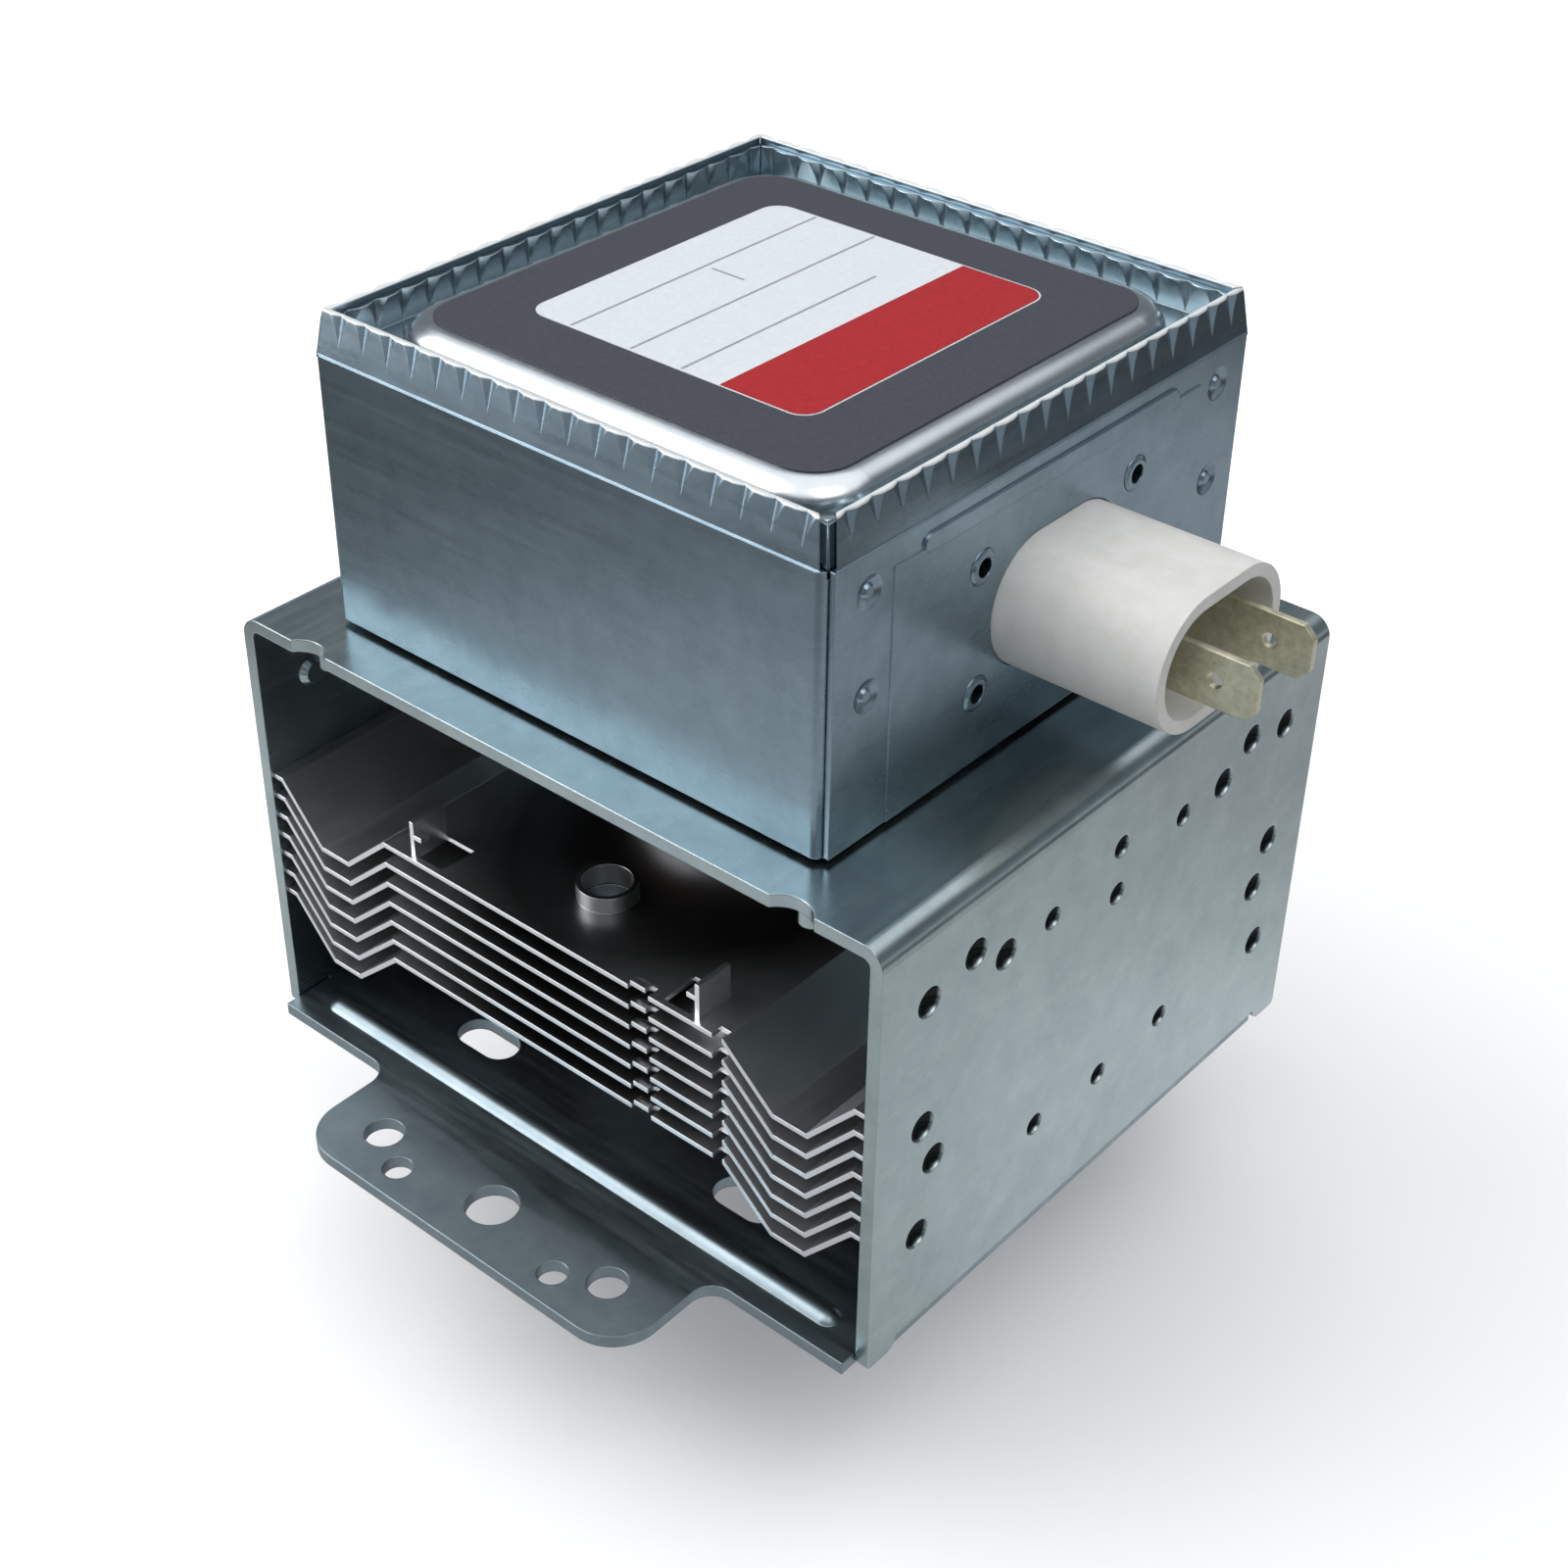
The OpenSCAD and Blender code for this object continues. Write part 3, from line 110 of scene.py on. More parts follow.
def linear(hex_colour):
    """sRGB hex to linear RGBA: each channel c becomes c/12.92 when small, else ((c + 0.055)/1.055)^2.4."""
    c = np.array([int(hex_colour[i:i + 2], 16) for i in (1, 3, 5)]) / 255
    c = np.where(c <= 0.04045, c / 12.92, ((c + 0.055) / 1.055) ** 2.4)
    return (*c.tolist(), 1.0)


def add(tree, kind, sockets=None, **fields):
    """Adds one node: fields set its own options, and sockets maps an input's name or number to a value
    or to the socket that it is linked from."""
    node = tree.nodes.new(kind)
    for field, value in fields.items():
        setattr(node, field, value)
    for key, value in (sockets or {}).items():
        if isinstance(value, bpy.types.NodeSocket):
            tree.links.new(value, node.inputs[key])
        else:
            node.inputs[key].default_value = value
    return node


def fill(ramp, stops):
    """Gives a colour ramp the listed stops, each a place between 0 and 1 and a colour."""
    elements = ramp.color_ramp.elements
    while len(elements) < len(stops):
        elements.new(0.5)
    for element, (where, colour) in zip(elements, stops):
        element.position, element.color = where, linear(colour)


print("colour check, mid grey:", round(linear("#808080")[0], 3))

# %% [markdown]
# ## What every finish shares
# Each finish starts from the same shader and from coordinates fixed to the part. Real edges are never
# sharp, so the normals are rounded a little there, and a fine noise stands for the relief of the surface.
# The same noise moves the roughness, because worn and pitted places scatter light more.

# %% Helpers for finishes
NOISE_LOW, NOISE_HIGH = 0.3, 0.7


def finish(name, **uniform):
    """A new material with the uniform values on its shader: returns the material, its node tree, its
    shader and the object coordinates."""
    material = bpy.data.materials.new(name)
    material.use_nodes = True
    tree = material.node_tree
    shader = tree.nodes["Principled BSDF"]
    for socket, value in uniform.items():
        shader.inputs[socket.replace("_", " ")].default_value = value
    place = add(tree, "ShaderNodeTexCoord").outputs["Object"]
    return material, tree, shader, place


def per_mm(size_mm):
    """Texture scale at which one period of a pattern is size_mm long."""
    return 1 / (size_mm * MM)


def roughen(tree, shader, noise, rough):
    """Roughness that runs from rough[0] to rough[1] while the noise goes through its common range."""
    dull = add(tree, "ShaderNodeMapRange",
               {"Value": noise, 1: NOISE_LOW, 2: NOISE_HIGH, 3: rough[0], 4: rough[1]})
    tree.links.new(dull.outputs[0], shader.inputs["Roughness"])


def soften(tree, shader, height, edge_mm, depth_mm):
    """Joins a height pattern to the shader as bump, over normals that are rounded at edges by edge_mm."""
    edge = add(tree, "ShaderNodeBevel", {"Radius": edge_mm * MM}, samples=6)
    bump = add(tree, "ShaderNodeBump",
               {"Height": height, "Distance": depth_mm * MM, "Normal": edge.outputs[0]})
    tree.links.new(bump.outputs[0], shader.inputs["Normal"])


print("scale of a 5 mm pattern:", per_mm(5))

# %% [markdown]
# ## Zinc-coated steel sheet
# The yoke, the plate and the filter box are pressed from galvanised steel. The zinc gives a blue-grey metal
# with a faint cloudy grain and long marks from the rolling mill. An image of zinc would show its seams, so
# noises are used: a round one for the clouds, and one that is drawn out along the rolling direction. They
# move colour and roughness only a little, so that the sheet still reads as one piece of metal. Real mill
# marks and grains are about a tenth of a millimetre wide. They are drawn coarser here so that they show.

# %% Zinc finish
CLOUD_MM, MILL_MM, GRAIN_MM = 5, 1.1, 0.5
MILL_IN_COLOUR, MILL_IN_RELIEF = 0.14, 0.5
ZINC_DEEP_AT, ZINC_PALE_AT = 0.28, 0.74
ZINC_EDGE_MM, ZINC_RELIEF_MM = 0.22, 0.002


def zinc_sheet(name, pale, deep, rolling, rough=(0.30, 0.42), light_painter=None):
    """Galvanised sheet between two colours; rolling is the stretch of the mill marks along X, Y and Z.
    worked is a function that paints light or shade into the colour where the press has shaped the sheet."""
    material, tree, shader, place = finish(name, Metallic=1.0)
    cloud = add(tree, "ShaderNodeTexNoise",
                {"Vector": place, "Scale": per_mm(CLOUD_MM), "Detail": 6.0, "Roughness": 0.7})
    drawn = add(tree, "ShaderNodeMapping", {"Vector": place, "Scale": rolling})
    mill = add(tree, "ShaderNodeTexNoise",
               {"Vector": drawn.outputs[0], "Scale": per_mm(MILL_MM), "Detail": 4.0}).outputs["Fac"]
    grain = add(tree, "ShaderNodeTexNoise", {"Vector": place, "Scale": per_mm(GRAIN_MM), "Detail": 2.0})
    both = add(tree, "ShaderNodeMix", {"Factor": MILL_IN_COLOUR, "A": cloud.outputs["Fac"], "B": mill})
    shade = add(tree, "ShaderNodeValToRGB", {"Fac": both.outputs[0]})
    fill(shade, ((ZINC_DEEP_AT, deep), (ZINC_PALE_AT, pale)))
    colour = light_painter(tree, place, shade.outputs[0]) if light_painter else shade.outputs[0]
    tree.links.new(colour, shader.inputs["Base Color"])
    roughen(tree, shader, mill, rough)
    relief = add(tree, "ShaderNodeMix", {"Factor": MILL_IN_RELIEF, "A": grain.outputs["Fac"], "B": mill})
    soften(tree, shader, relief.outputs[0], ZINC_EDGE_MM, ZINC_RELIEF_MM)
    return material


print("zinc patterns in mm:", CLOUD_MM, MILL_MM, GRAIN_MM)

# %% [markdown]
# ## Punched dents
# Round punches leave small dents in the yoke's walls, which look nearly black in their own shade. The dents
# themselves are in the solids. Painting each one by its place would need a list of places, but shade in a
# dent is a matter of depth, so a painted shade darkens the colour with the depth below the wall's outer
# face. The bend and the cut edges lie deeper too, and they are left out.

# %% Painted shade of the punched dents
DENT_LIP_MM, DENT_FLOOR_MM, DENT_TONE = 0.06, 0.40, 0.05
WALL_MM, CUT_EDGE_MM, BEND_MM = 1.30, 1.0, 4.0


def painted_dent_shade(tree, place, colour):
    """Paints shade: scales the colour from 1 at the dent's lip to DENT_TONE at its floor, where |x| lies
    inside the wall's sheet, |y| is short of the cut edges and |z| is below the bend."""
    reach_x, reach_y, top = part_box("yoke")[1]
    spread = add(tree, "ShaderNodeVectorMath", {0: place}, operation="ABSOLUTE")
    out, along, up = add(tree, "ShaderNodeSeparateXYZ", {0: spread.outputs[0]}).outputs
    depth = add(tree, "ShaderNodeMapRange",
                {"Value": out, 1: reach_x - DENT_FLOOR_MM * MM, 2: reach_x - DENT_LIP_MM * MM,
                 3: DENT_TONE, 4: 1.0})
    wall = add(tree, "ShaderNodeMath", {0: out, 1: reach_x - WALL_MM * MM}, operation="GREATER_THAN")
    inside = add(tree, "ShaderNodeMath", {0: along, 1: reach_y - CUT_EDGE_MM * MM}, operation="LESS_THAN")
    below = add(tree, "ShaderNodeMath", {0: up, 1: top - BEND_MM * MM}, operation="LESS_THAN")
    flat = add(tree, "ShaderNodeMath", {0: inside.outputs[0], 1: below.outputs[0]}, operation="MULTIPLY")
    flat = add(tree, "ShaderNodeMath", {0: flat.outputs[0], 1: wall.outputs[0]}, operation="MULTIPLY")
    keep = add(tree, "ShaderNodeMix", {"Factor": flat.outputs[0], "A": 1.0, "B": depth.outputs[0]})
    dark = add(tree, "ShaderNodeVectorMath", {0: colour, "Scale": keep.outputs[0]}, operation="SCALE")
    return dark.outputs[0]


print("dents darken to:", DENT_TONE)

# %% [markdown]
# ## Drawn lid
# The lid's middle is drawn up by a die. The roll around the label is painted pale as a highlight, and the
# flat strip between the roll and the rim keeps a duller zinc. Two materials would leave a hard line, so one
# material fades to the dull colour with the distance from the label.

# %% Painted highlight of the roll, fading to a dull strip
ROLL_HIGHLIGHT_MM, DULL_MM = 2.6, 4.2
DULL_ZINC = "#abb9c0"


def painted_roll_highlight(tree, place, colour):
    """Keeps the colour near the label as a painted highlight and mixes it to dull zinc by the distance
    outside the label's rectangle, which is the larger of |x - middle| - half width and |y - middle| - half
    length."""
    (x0, y0, _), (x1, y1, _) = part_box("label_sheet")
    middle = ((x0 + x1) / 2, (y0 + y1) / 2, 0.0)
    half = ((x1 - x0) / 2, (y1 - y0) / 2, 0.0)
    centred = add(tree, "ShaderNodeVectorMath", {0: place, 1: middle}, operation="SUBTRACT")
    spread = add(tree, "ShaderNodeVectorMath", {0: centred.outputs[0]}, operation="ABSOLUTE")
    beyond = add(tree, "ShaderNodeVectorMath", {0: spread.outputs[0], 1: half}, operation="SUBTRACT")
    sides = add(tree, "ShaderNodeSeparateXYZ", {0: beyond.outputs[0]}).outputs
    out = add(tree, "ShaderNodeMath", {0: sides["X"], 1: sides["Y"]}, operation="MAXIMUM")
    around = add(tree, "ShaderNodeMapRange",
                 {"Value": out.outputs[0], 1: ROLL_HIGHLIGHT_MM * MM, 2: DULL_MM * MM})
    dull = add(tree, "ShaderNodeMix",
               {"Factor": around.outputs[0], "A": colour, "B": linear(DULL_ZINC)}, data_type="RGBA")
    return dull.outputs["Result"]


print("polished to mm beyond the label:", ROLL_HIGHLIGHT_MM)

# %% [markdown]
# ## Sheared rim
# The top of the crimped rim is a cut through the sheet, which a shear leaves bare and torn. It is made near
# white with little metal, partly bare steel and partly a painted highlight, so that it scatters light like a
# pale matt surface and shows as a white line along the scallops. It is the highest quarter of
# a millimetre of the box, so the height alone finds it.

# %% Cut edge of the rim, with a painted highlight
CUT_MM, CUT_BLEND_MM = 0.28, 0.08
CUT_STEEL_HIGHLIGHT, CUT_METAL = "#eef1f2", 0.25


def sheared_edge_highlight(tree, place, colour):
    """Mixes the colour to pale cut steel above a height, partly a painted highlight, and lowers Metallic
    there so that it scatters light.
    """
    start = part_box("filter_box")[1][2] - CUT_MM * MM
    up = add(tree, "ShaderNodeSeparateXYZ", {0: place}).outputs["Z"]
    cut = add(tree, "ShaderNodeMapRange", {"Value": up, 1: start, 2: start + CUT_BLEND_MM * MM})
    bare = add(tree, "ShaderNodeMix",
               {"Factor": cut.outputs[0], "A": colour, "B": linear(CUT_STEEL_HIGHLIGHT)}, data_type="RGBA")
    scatter = add(tree, "ShaderNodeMapRange", {"Value": cut.outputs[0], 3: 1.0, 4: CUT_METAL})
    tree.links.new(scatter.outputs[0], tree.nodes["Principled BSDF"].inputs["Metallic"])
    return bare.outputs["Result"]


print("cut edge in mm:", CUT_MM)

# %% [markdown]
# ## The four sheets
# The pieces come from different coils, so each has its own tone of zinc and its own rolling direction.
# The lid's paler tone is a painted highlight.

# %% Zinc of yoke, plate, box and lid
ACROSS, ALONG = 1.0, 0.07
# The yoke is pale and smooth, and its walls mirror the table softly.
zinc_yoke = zinc_sheet("galvanised_steel_yoke", "#b4c1c3", "#9aa8ab", (ACROSS, ALONG, ACROSS),
                       (0.24, 0.28), painted_dent_shade)
# The plate is thicker stock, darker and more matt.
zinc_plate = zinc_sheet("galvanised_steel_plate", "#98a5ab", "#7f8d94", (ALONG, ACROSS, ACROSS))
# The box is bluer, with a soft sheen.
zinc_box = zinc_sheet("galvanised_steel_box", "#97a9b5", "#80929e", (ALONG, ALONG, ACROSS),
                      (0.26, 0.31), sheared_edge_highlight)
# The lid's zinc is painted pale, a highlight that makes its roll shine almost white.
zinc_lid = zinc_sheet("galvanised_steel_lid", "#dce2e5", "#cbd3d7", (ACROSS, ALONG, ACROSS),
                      (0.20, 0.26), painted_roll_highlight)
print("zinc finishes:", zinc_yoke.name, zinc_plate.name, zinc_box.name, zinc_lid.name)

# %% [markdown]
# ## Aluminium fins
# The fins are blanked from bright rolled aluminium. Rolling leaves fine straight lines along the strip,
# which here runs from front to back. The lines are drawn several times coarser than real ones so that they
# show.

# %% Rolled aluminium
LINE_MM, LINE_STRETCH = 0.35, 0.05
aluminium, tree, shader, place = finish("rolled_aluminium", Metallic=1.0)
drawn = add(tree, "ShaderNodeMapping", {"Vector": place, "Scale": (1.0, LINE_STRETCH, 1.0)})
lines = add(tree, "ShaderNodeTexNoise",
            {"Vector": drawn.outputs[0], "Scale": per_mm(LINE_MM), "Detail": 3.0}).outputs["Fac"]
shade = add(tree, "ShaderNodeValToRGB", {"Fac": lines})
fill(shade, ((0.0, "#eef0f2"), (1.0, "#f6f7f8")))
roughen(tree, shader, lines, (0.28, 0.33))
soften(tree, shader, lines, edge_mm=0.12, depth_mm=0.0006)
print("fin finish:", aluminium.name)

# %% [markdown]
# The flat middle of each fin is darkened with painted shade, for the little light that reaches in between
# the fins, and the slopes stay bright. The shade is a product of two things: how near a point is to the
# tube's axis, and how level the sheet is there.

# %% Painted shade on the middle of the fins
SHADE_FULL_MM, SHADE_END_MM, SHADE_LENGTHWISE = 24, 34, 0.6
FIN_SHADE_DEPTH, LEVEL_POWER = 0.82, 4.0
oval = add(tree, "ShaderNodeVectorMath", {0: place, 1: (1.0, SHADE_LENGTHWISE, 0.0)}, operation="MULTIPLY")
away = add(tree, "ShaderNodeVectorMath", {0: oval.outputs[0]}, operation="LENGTH")
axis_shade = add(tree, "ShaderNodeMapRange",
           {"Value": away.outputs["Value"], 1: SHADE_FULL_MM * MM, 2: SHADE_END_MM * MM, 3: FIN_SHADE_DEPTH, 4: 0.0})
facing = add(tree, "ShaderNodeTexCoord").outputs["Normal"]
level = add(tree, "ShaderNodeSeparateXYZ", {0: facing}).outputs["Z"]
level = add(tree, "ShaderNodeMath", {0: level, 1: LEVEL_POWER}, operation="POWER")
fin_shade = add(tree, "ShaderNodeMath", {0: axis_shade.outputs[0], 1: level.outputs[0]}, operation="MULTIPLY")
# The product is painted shade, and the colour keeps one minus it.
keep = add(tree, "ShaderNodeMath", {0: 1.0, 1: fin_shade.outputs[0]}, operation="SUBTRACT")
tint = add(tree, "ShaderNodeVectorMath", {0: shade.outputs[0], "Scale": keep.outputs[0]}, operation="SCALE")
print("dulled within mm of the axis:", SHADE_END_MM)

# %% [markdown]
# The front and back edges of the fins are sheared, and they show as thin bright lines above the dark gaps.

# %% Bright edges of the fins
FIN_CUT_MM, FIN_CUT_FULL_MM = 0.12, 0.02
FIN_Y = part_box("cooling_fin_7")[1][1]
reach = add(tree, "ShaderNodeSeparateXYZ", {0: place}).outputs["Y"]
reach = add(tree, "ShaderNodeMath", {0: reach}, operation="ABSOLUTE").outputs[0]
cut = add(tree, "ShaderNodeMapRange",
          {"Value": reach, 1: FIN_Y - FIN_CUT_MM * MM, 2: FIN_Y - FIN_CUT_FULL_MM * MM})
# The edge strip takes the plain aluminium tone instead of the painted shade of the middle.
bare = add(tree, "ShaderNodeMix",
           {"Factor": cut.outputs[0], "A": tint.outputs[0], "B": linear("#e4e7ea")}, data_type="RGBA")
tree.links.new(bare.outputs["Result"], shader.inputs["Base Color"])
print("fin edge at mm:", round(FIN_Y / MM, 1))

# %% [markdown]
# ## Ferrite, copper, plated steel and ceramic
# The inner pieces are plain materials with one tell-tale each: sintered ferrite is a matt dark grey with
# pits, copper is warm with a little oxide, plated steel is smooth, and fired alumina is white with a faint
# speckle. One function holds what they share, a speckled two-colour surface, and each keeps its own
# numbers. Grains and pits are drawn coarser than real ones so that they show.

# %% Speckled finishes of the inner pieces
SPECKLE_DEEP_AT, SPECKLE_PALE_AT = 0.35, 0.68
SPECKLE_EDGE_MM = 0.25


def speckled(name, pale, deep, grain_mm, depth_mm, rough, metal, gloss=0.5):
    """A surface between two colours, mottled by noise of one grain size, with that noise as shallow bump.
    gloss is the shader's specular level, one half for most plastics and less for matt ink."""
    material, tree, shader, place = finish(name, Metallic=metal, Specular_IOR_Level=gloss)
    grain = add(tree, "ShaderNodeTexNoise",
                {"Vector": place, "Scale": per_mm(grain_mm), "Detail": 5.0, "Roughness": 0.65})
    shade = add(tree, "ShaderNodeValToRGB", {"Fac": grain.outputs["Fac"]})
    fill(shade, ((SPECKLE_DEEP_AT, deep), (SPECKLE_PALE_AT, pale)))
    tree.links.new(shade.outputs[0], shader.inputs["Base Color"])
    roughen(tree, shader, grain.outputs["Fac"], rough)
    soften(tree, shader, grain.outputs["Fac"], SPECKLE_EDGE_MM, depth_mm)
    return material


# Matt, dark and pitted, as pressed powder comes from the kiln
ferrite = speckled("sintered_ferrite", "#3a3a3d", "#232326", 1.6, 0.03, (0.55, 0.75), 0.0)
# Warm and satin, with a little tarnish
copper = speckled("bare_copper", "#c98a63", "#9c5f40", 3.0, 0.004, (0.25, 0.42), 1.0)
# The anode's outside, browned by the brazing furnace and by use
oxidised = speckled("oxidised_copper", "#5a4238", "#3c2d27", 3.0, 0.004, (0.40, 0.55), 1.0)
# Smooth, slightly yellow white metal
plated = speckled("nickel_plated_steel", "#b9b8b4", "#9c9b98", 4.0, 0.004, (0.22, 0.34), 1.0)
# Dull grey wire, drawn through a die
drawn_metal = speckled("drawn_molybdenum", "#7c7d83", "#5d5e64", 1.0, 0.004, (0.35, 0.5), 1.0)
# White with a faint pink, as tube ceramic is
alumina = speckled("fired_alumina", "#f0e3df", "#ddc9c4", 0.8, 0.01, (0.35, 0.5), 0.0)
# Dull, with the yellow of the brass just showing
tinned = speckled("tin_plated_brass", "#efebd2", "#d0ccb3", 1.2, 0.006, (0.36, 0.50), 1.0)
print("inner finishes:", ferrite.name, copper.name, plated.name, alumina.name, tinned.name)

# %% [markdown]
# ## Moulded connector and label film
# The connector is an ivory thermoset. It has a soft sheen and a slight cloud from the mould. The label is a
# satin film in dark slate grey with a very fine leather-like embossing, and its inks are flatter still.

# %% Plastic and ink finishes
INK_ROUGH, INK_GLOSS = (0.40, 0.50), 0.25
# Off-white and softly shining
ivory = speckled("ivory_thermoset", "#deddda", "#d5d4cf", 2.5, 0.008, (0.42, 0.55), 0.0)
# Dark and satin, so that it mirrors little of the sky
film = speckled("slate_label_film", "#464851", "#3f414a", 0.5, 0.006, (0.38, 0.50), 0.0, 0.3)
# Screen-printed inks: even and flat
panel_ink = speckled("pale_panel_ink", "#dadfe2", "#d1d6da", 0.6, 0.003, INK_ROUGH, 0.0, INK_GLOSS)
red_ink = speckled("red_band_ink", "#ad262b", "#9f2127", 0.6, 0.003, INK_ROUGH, 0.0, INK_GLOSS)
grey_ink = speckled("grey_line_ink", "#a6abb2", "#999fa7", 0.6, 0.003, INK_ROUGH, 0.0, INK_GLOSS)
print("film and ink finishes:", film.name, panel_ink.name, red_ink.name, grey_ink.name)

# %% [markdown]
# ## Dressing the solids
# A table from finish to pieces is easier to read than a long row of assignments, and a last check shows
# that no piece was forgotten.

# %% Give every solid its finish
FINISHES = {
    zinc_yoke: ["yoke"],
    zinc_plate: ["mounting_plate"],
    zinc_box: ["filter_box", "connector_plate", "capacitor_flange"],
    zinc_lid: ["box_lid"],
    aluminium: [name for name in nodes if name.startswith("cooling_fin")],
    ferrite: ["lower_magnet", "upper_magnet", "front_choke_core", "back_choke_core"],
    oxidised: ["anode_cylinder"],
    copper: ["anode_vanes", "upper_straps", "lower_straps", "antenna_lead", "exhaust_tube",
             "front_choke_coil", "back_choke_coil"],
    plated: ["upper_pole_piece", "lower_pole_piece", "upper_shell", "lower_shell", "antenna_cap",
             "centre_terminal", "side_terminal", "rf_gasket"],
    drawn_metal: ["filament", "upper_end_hat", "lower_end_hat", "centre_lead", "side_lead"],
    alumina: ["cathode_ceramic", "antenna_ceramic", "capacitor_ceramic"],
    film: ["label_sheet"],
    ivory: ["connector_housing", "capacitor_case"],
    tinned: ["front_tab", "back_tab", "front_conductor", "back_conductor"],
}
dressed = set()
for material, names in FINISHES.items():
    for name in names:
        mesh = nodes[name].data
        mesh.materials.clear()
        mesh.materials.append(material)
        dressed.add(name)
print("dressed:", len(dressed), "left bare:", sorted(set(nodes) - dressed))

# %% [markdown]
# ## Print on the label
# The label carries plain fields: a pale panel, a red band and thin rules. They could be painted in the
# film's material, but as thin slabs of ink they keep crisp edges at any distance. Each is an outline with
# round corners, carried up by the thickness of the ink.

# %% Outlines and slabs


def piece(name, points, faces, material):
    """Makes a mesh object at the origin from an array of points and lists of faces, riding on the part."""
    mesh = bpy.data.meshes.new(name)
    mesh.from_pydata(points.tolist(), [], faces)
    mesh.materials.append(material)
    made = bpy.data.objects.new(name, mesh)
    bpy.context.scene.collection.objects.link(made)
    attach(made, "root")
    return made


def round_outline(x0, x1, y0, y1, left_r, right_r, steps=9):
    """Rectangle with round corners: four quarter circles about the inset corners, one radius to a side."""
    a = np.linspace(0, np.pi / 2, steps)
    starts = np.arange(4) * np.pi / 2
    angle = (starts[:, None] + a[None, :]).ravel()
    r = np.array([right_r, left_r, left_r, right_r])
    cx = np.repeat(np.array([x1, x0, x0, x1]) + r * np.array([-1, 1, 1, -1]), steps)
    cy = np.repeat(np.array([y1, y1, y0, y0]) + r * np.array([-1, -1, 1, 1]), steps)
    r = np.repeat(r, steps)
    return np.stack([cx + r * np.cos(angle), cy + r * np.sin(angle)], axis=1)


def slab(outline, z0, z1):
    """A closed slab: the outline at z0 and again at z1, a floor, a top and a wall of quads between them."""
    n = len(outline)
    points = np.concatenate([np.c_[outline, np.full(n, z0)], np.c_[outline, np.full(n, z1)]])
    k = np.arange(n)
    walls = np.stack([k, (k + 1) % n, (k + 1) % n + n, k + n], axis=1)
    return points, [k[::-1].tolist(), (k + n).tolist()] + walls.tolist()


print("points in one outline:", len(round_outline(0, 1, 0, 1, 0.1, 0.1)))

# %% [markdown]
# The fields are measured from the part's own axes, in millimetres. The panel lies on the film, and the band
# and the rules lie on the panel.

# %% Fields of ink
INK_MM = 0.02
PANEL = (-22.0, 17.5, -18.3, 22.8)
CORNER_R, SQUARE_R = 2.6, 0.05
MARGIN, BAND_X = 0.22, 5.7
RULE_HALF, RULE_INSET = 0.16, 0.4
LONG_RULES_X = (-15.6, -6.9)
SHORT_RULE_X, SHORT_RULE_END = 0.3, 13.8
CROSS_RULE_X, CROSS_RULE_Y = (-14.6, -9.8), 3.3


def ink(name, rectangles, left_r, right_r, material, lift_mm):
    """Ink fields in millimetres, each a slab that lies on the label film or on the ink below it."""
    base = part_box("label_sheet")[1][2] + lift_mm * MM
    points, faces = np.zeros((0, 3)), []
    for x0, x1, y0, y1 in rectangles:
        p, f = slab(round_outline(x0, x1, y0, y1, left_r, right_r) * MM, base, base + INK_MM * MM)
        faces += [[i + len(points) for i in face] for face in f]
        points = np.concatenate([points, p])
    piece(name, points, faces, material)
    print(name, "fields:", len(rectangles))


_, panel_right, panel_front, panel_back = PANEL
ink("label_panel", [PANEL], CORNER_R, CORNER_R, panel_ink, 0.0)
band = (BAND_X, panel_right - MARGIN, panel_front + MARGIN, panel_back - MARGIN)
ink("label_band", [band], SQUARE_R, CORNER_R - MARGIN, red_ink, INK_MM)
rules = [(x - RULE_HALF, x + RULE_HALF, panel_front + RULE_INSET, panel_back - RULE_INSET)
         for x in LONG_RULES_X]
rules.append((SHORT_RULE_X - RULE_HALF, SHORT_RULE_X + RULE_HALF, panel_front + RULE_INSET, SHORT_RULE_END))
rules.append((*CROSS_RULE_X, CROSS_RULE_Y - RULE_HALF, CROSS_RULE_Y + RULE_HALF))
ink("label_rules", rules, SQUARE_R, SQUARE_R, grey_ink, INK_MM)

# %% [markdown]
# ## Woven gasket
# The ring under the plate is knitted from fine wire, so that it can be crushed against the waveguide. Two
# families of wires that wind round the ring in opposite directions give that look. Each wire is a small
# tube carried along its own helix on the ring, worked out for all wires at once. The wire is drawn about
# twice as thick as a real one so that it shows.

# %% Tubes along closed paths


def tubes(path, radius, sides):
    """Round tubes along closed paths: path is wires x steps x 3; each ring of points lies square to it."""
    ahead = np.roll(path, -1, axis=1) - np.roll(path, 1, axis=1)
    ahead /= np.linalg.norm(ahead, axis=2, keepdims=True)
    out = np.cross(ahead, np.array((0.0, 0.0, 1.0)))
    out /= np.linalg.norm(out, axis=2, keepdims=True)
    up = np.cross(out, ahead)
    a = np.arange(sides) * 2 * np.pi / sides
    ring = out[:, :, None] * np.cos(a)[:, None] + up[:, :, None] * np.sin(a)[:, None]
    points = (path[:, :, None] + radius * ring).reshape(-1, 3)
    w, s, _ = path.shape
    index = np.arange(w * s * sides).reshape(w, s, sides)
    here, there = index, np.roll(index, -1, axis=1)
    quads = np.stack([here, there, np.roll(there, -1, axis=2), np.roll(here, -1, axis=2)], axis=-1)
    return points, quads.reshape(-1, 4).tolist()


low, high = (np.array(corner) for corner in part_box("rf_gasket"))
section = (high[2] - low[2]) / 2
ring_r = (high[0] - low[0]) / 2 - section
middle_z = (high[2] + low[2]) / 2
print("gasket ring in mm:", round(ring_r / MM, 2), "section:", round(section / MM, 2))

# %% [markdown]
# A wire's distance from the middle of the ring's section rises and falls as it goes, and the two families do
# so in turn, so that they pass over and under each other.

